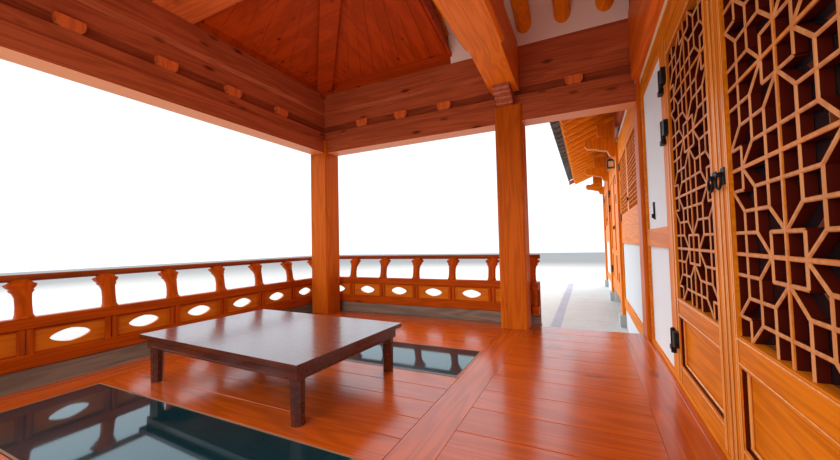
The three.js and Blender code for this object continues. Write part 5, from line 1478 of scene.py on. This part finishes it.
def ironwork():
    """The iron of all four doors."""
    wing_middle = Y_FAR + 1.5 * BAY
    for name, body, pin, meet in (("iron_leaf_far", "door_leaf_far", PIN_FAR, Y_MID),
                                  ("iron_leaf_near", "door_leaf_near", PIN_NEAR, Y_MID),
                                  ("iron_wing_right", "wing_door_right", PIN_RIGHT, wing_middle),
                                  ("iron_wing_left", "wing_door_left", PIN_LEFT, wing_middle)):
        leaf_iron(name, pin, meet, body)
    frame_iron()


# Timberwork over the openings, and the finer parts of the walls
def bearing_blocks():
    """Blocks with curved lower sides between the band and the purlins' seats, painted lighter as lit, and the
    boards between them, painted darker as shaded.
    """
    shape, back = Shape(), Shape()
    low, high = BLOCK_Z
    side = [(w, low + up) for w, up in BLOCK_SIDE] + [(BLOCK_SIDE[-1][0], high)]

    def outline(middle):
        return [(middle + w, z) for w, z in side] + [(middle - w, z) for w, z in reversed(side)]

    for y0 in (Y_FAR, Y_NEAR):
        for x in BLOCKS_FAR:
            shape.prism(outline(x), 1, about(y0, BLOCK_FACE))
        back.box((X_LEFT + 0.05, X_DOOR - 0.14), about(y0, 0.042), (low, high))
    for k in (-2, -1, 0, 1, 2):
        shape.prism(outline(Y_MID + BLOCK_STEP * k), 0, about(X_LEFT, BLOCK_FACE))
    back.box(about(X_LEFT, 0.042), (Y_NEAR + 0.05, Y_FAR - 0.05), (low, high))
    piece("bearing_blocks", shape, "block")
    piece("recess_boards", back, "recess")


def posts():
    """The six posts of the hall with their corners cut off."""
    shape = Shape()
    for x, y in HALL_POSTS:
        shape.box(about(x, POST / 2), about(y, POST / 2), POST_Z, 0.014)
    piece("posts_eased", shape, "post", replaces=NODE_LOOKS["post"])


def nose_scrolls():
    """Rolled edges of the two cloud noses under the great beam."""
    shape = Shape()
    reach = (-NOSE_HALF - 0.004, -NOSE_HALF, NOSE_HALF, NOSE_HALF + 0.004)
    for y0, way in ((Y_FAR, -1), (Y_NEAR, 1)):
        for out, z, radius in NOSE_SCROLLS:
            path = [(GIRDER_X + x, y0 + way * out, z) for x in reach]
            shape.tube(path, [radius - 0.006, radius, radius, radius - 0.006], 14)
    piece("nose_scrolls", shape, "nose", smooth=35)


def door_wall_trim():
    """Cream strip over the head, and beads and panel mouldings on the two leaves."""
    strip = Shape()
    strip.box((LEAF_FRONT - 0.0012, LEAF_FRONT - 0.0002), (Y_NEAR + 0.14, Y_FAR - 0.14), (2.16, 2.2043))
    piece("cream_strip", strip, "cream")
    for name, way in LEAVES:
        shape = Shape()
        inner, outer = (sorted(Y_MID + way * off for off in pair) for pair in (LEAF_INNER, LEAF_OUTER))
        face = (LEAF_FRONT - 0.0035, LEAF_FRONT - 0.0003)
        for edges, off in ((outer, 0.009), (outer, 0.022), (inner, -0.01), (inner, -0.024)):
            for y in (edges[0] + off, edges[1] - off):
                shape.box(face, about(y, 0.0035), (0.034, 2.022), 0.0014)
        for low, high in ((LATTICE_Z[0], LATTICE_Z[1]), LEAF_PANEL_Z):
            for z in (low - 0.011, high + 0.011):
                shape.box(face, (inner[0] - 0.008, inner[1] + 0.008), about(z, 0.0035), 0.0014)
        rim = (LEAF_FRONT + 0.0145, LEAF_FRONT + 0.0238)
        low, high = LEAF_PANEL_Z
        for z in (low + 0.0065, high - 0.0065):
            shape.box(rim, (inner[0] + 0.0003, inner[1] - 0.0003), about(z, 0.006), 0.003)
        for y in (inner[0] + 0.0065, inner[1] - 0.0065):
            shape.box(rim, about(y, 0.006), (low + 0.0125, high - 0.0125), 0.003)
        piece("leaf_beads_" + name, shape, "bead", body="door_leaf_" + name)


def behind(face, way, near, far):
    """The span between two depths behind a wall's face."""
    return sorted((face + way * near, face + way * far))


def window_lattices():
    """Close upright bars with three groups of cross bars in each window, and panes behind them, dark as
    painted shade.
    """
    bars, panes = Shape(), Shape()
    low, high = WINDOW_Z[0] + WINDOW_PANEL, WINDOW_Z[1] - WINDOW_FRAME
    groups = ((low + 0.13, 4), ((low + high) / 2, 5), (high - 0.13, 4))
    for y0, y1, face, way in WINDOWS:
        mid = (y0 + y1) / 2
        for a, b in ((y0 + WINDOW_FRAME, mid - WINDOW_MEET), (mid + WINDOW_MEET, y1 - WINDOW_FRAME)):
            for k in range(1, WINDOW_BARS):
                y = a + (b - a) * k / WINDOW_BARS
                bars.box(behind(face, way, 0.004, 0.02), about(y, 0.0055), (low, high), 0.002)
            for middle, count in groups:
                for k in range(count):
                    z = middle + (k - (count - 1) / 2) * CROSS_STEP
                    bars.box(behind(face, way, 0.0035, 0.0195), (a, b), about(z, 0.005), 0.002)
            panes.box(behind(face, way, 0.03, 0.034), (a - 0.01, b + 0.01), (low - 0.01, high + 0.01))
    piece("window_lattices", bars, "pine_z")
    piece("window_panes", panes, "pane")


def window_iron():
    """Hinges and bolts of the two windows that look on the court."""
    shape = Shape()
    for y0, y1, face, way in WINDOWS:
        if way > 0:
            for y in (y0 + 0.02, y1 - 0.02):
                for z in (1.1, 1.83):
                    shape.box((face - 0.012, face + 0.0005), about(y, 0.034), (z, z + 0.1), 0.004)
            shape.box((face - 0.014, face + 0.0005), about((y0 + y1) / 2, 0.05), (1.3, 1.34), 0.004)
    piece("window_iron", shape, "iron")


def lantern():
    """Small square lamp on the wall over the wing's doors."""
    frame_parts, pane = Shape(), Shape()
    x, y = LAMP_AT
    z0, z1 = LAMP_Z
    pane.box((x - 0.1, x - 0.012), about(y, 0.045), (z0 + 0.014, z1 - 0.014))
    bar = 0.012
    for bx in (x - 0.108, x - 0.014):
        for by in (y - 0.053, y + 0.041):
            frame_parts.box((bx, bx + bar), (by, by + bar), (z0, z1))
    for z in (z0, z1 - 0.014):
        frame_parts.box((x - 0.112, x - 0.0004), about(y, 0.057), (z, z + 0.014), 0.003)
    frame_parts.box((x - 0.09, x - 0.02), about(y, 0.035), (z1, z1 + 0.02), 0.006)
    piece("lantern_frame", frame_parts, "iron")
    piece("lantern_pane", pane, "cream")


def court_kerb():
    """Kerb stones along the court's edge of the terrace."""
    shape = Shape()
    start, end = Y_FAR + TERRACE_OUT + 0.004, Y_END + TERRACE_END - 0.001
    step = (end - start) / KERB_STONES
    for k in range(KERB_STONES):
        shape.box(KERB_X, (start + k * step + 0.002, start + (k + 1) * step - 0.002), KERB_Z, 0.004)
    piece("court_kerb", shape, "kerb")


def table_details():
    """Bead along the lower edge of the table's apron."""
    shape = Shape()
    w, d = TABLE_W / 2 - APRON_IN, TABLE_D / 2 - APRON_IN
    z = (APRON_Z, APRON_Z + 0.012)
    for way in (-1, 1):
        shape.box(about(0, w - APRON_LEG), about(way * d, BEAD_HALF), z, BEAD_EASE)
        shape.box(about(way * w, BEAD_HALF), about(0, d - APRON_LEG), z, BEAD_EASE)
    (cx, cy), c, s = TABLE_AT, math.cos(TABLE_TURN), math.sin(TABLE_TURN)
    shape.points = [Vector((cx + p.x * c - p.y * s, cy + p.x * s + p.y * c, p.z)) for p in shape.points]
    piece("table_beads", shape, "table")


def camera():
    """Camera at the photograph's place."""
    yaw, pitch, roll = CAMERA_TURN
    turn = Matrix.Rotation(yaw, 3, "Z") @ Matrix.Rotation(pitch, 3, "X") @ Matrix.Rotation(roll, 3, "Y")
    right, ahead, up = turn.col
    data = bpy.data.cameras.new("photo_camera")
    data.lens = SENSOR * FOCAL_PX / PHOTO_W
    data.sensor_width = SENSOR
    data.clip_start = 0.02
    made = bpy.data.objects.new("photo_camera", data)
    axes = Matrix((right, up, -ahead)).transposed().to_4x4()
    made.matrix_world = Matrix.Translation(CAMERA_AT + SHIFT) @ axes
    bpy.context.scene.collection.objects.link(made)
    bpy.context.scene.camera = made


def area_light(name, at, towards, size, power, colour=(1, 1, 1)):
    """A rectangle of light that is not seen itself, also not in gloss."""
    data = bpy.data.lights.new(name, "AREA")
    data.shape = "RECTANGLE"
    data.size, data.size_y = size
    data.energy = power
    data.color = colour
    made = bpy.data.objects.new(name, data)
    made.location = Vector(at) + SHIFT
    aim = Vector(towards) - Vector(at)
    made.rotation_euler = aim.to_track_quat("-Z", "Y").to_euler()
    made.visible_glossy = False
    made.visible_camera = False
    bpy.context.scene.collection.objects.link(made)


def light():
    """Pale sky, daylight from the far and left sides, and weak fills from near, the floor and the room."""
    world = bpy.data.worlds.new("pale_sky")
    bpy.context.scene.world = world
    world.use_nodes = True
    back = world.node_tree.nodes["Background"]
    back.inputs["Color"].default_value = (0.86, 0.92, 1.0, 1)
    back.inputs["Strength"].default_value = 0.95
    area_light("sky_far", (0.5, 15.0, 11.0), (1.0, -1.5, 0.5), (18, 10), 3800)
    area_light("sky_left", (-16.0, -2.0, 9.0), (1.5, -1.8, 0.8), (16, 10), 2000)
    area_light("fill_near", (1.0, -17.0, 6.0), (1.5, -1.0, 1.4), (12, 8), 900)
    area_light("floor_bounce", (1.2, -1.85, 0.36), (1.2, -1.8, 3.0), (2.4, 2.6), 8, (1.0, 0.86, 0.74))
    area_light("room_fill", (1.5, -3.4, 1.3), (1.0, 0.0, 1.0), (2.6, 1.2), 14, (1.0, 0.95, 0.9))
    bpy.context.scene.view_settings.view_transform = "Standard"
    bpy.context.scene.view_settings.exposure = 0.52


def stage():
    """Plain pale floor that the house stands on."""
    half = 40.0
    mesh = bpy.data.meshes.new("stage_floor")
    corners = [(-half, -half), (half, -half), (half, half), (-half, half)]
    mesh.from_pydata([(x, y, GROUND + SHIFT.z - 0.001) for x, y in corners], [], [(0, 1, 2, 3)])
    look = Material("stage_pale", 0.8)
    fine = look.noise(look.place, 5.0)
    look.colour(look.blend(fine, (0.33, 0.32, 0.3), (0.4, 0.39, 0.37)))
    mesh.materials.append(look.made)
    made = bpy.data.objects.new("stage_floor", mesh)
    bpy.context.scene.collection.objects.link(made)


camera()
light()
stage()
dress_nodes()
for surface in (FAR, NEAR, LEFT, BACK, COURT):
    roof_bed(surface)
    roof_tiles(surface)
roof_ridges()
door_lattices()
hall_floor()
glass_edges()
railings()
rafters()
ceiling_boards()
ceiling_plaster()
ironwork()
bearing_blocks()
posts()
nose_scrolls()
door_wall_trim()
window_lattices()
window_iron()
lantern()
table_details()
court_kerb()
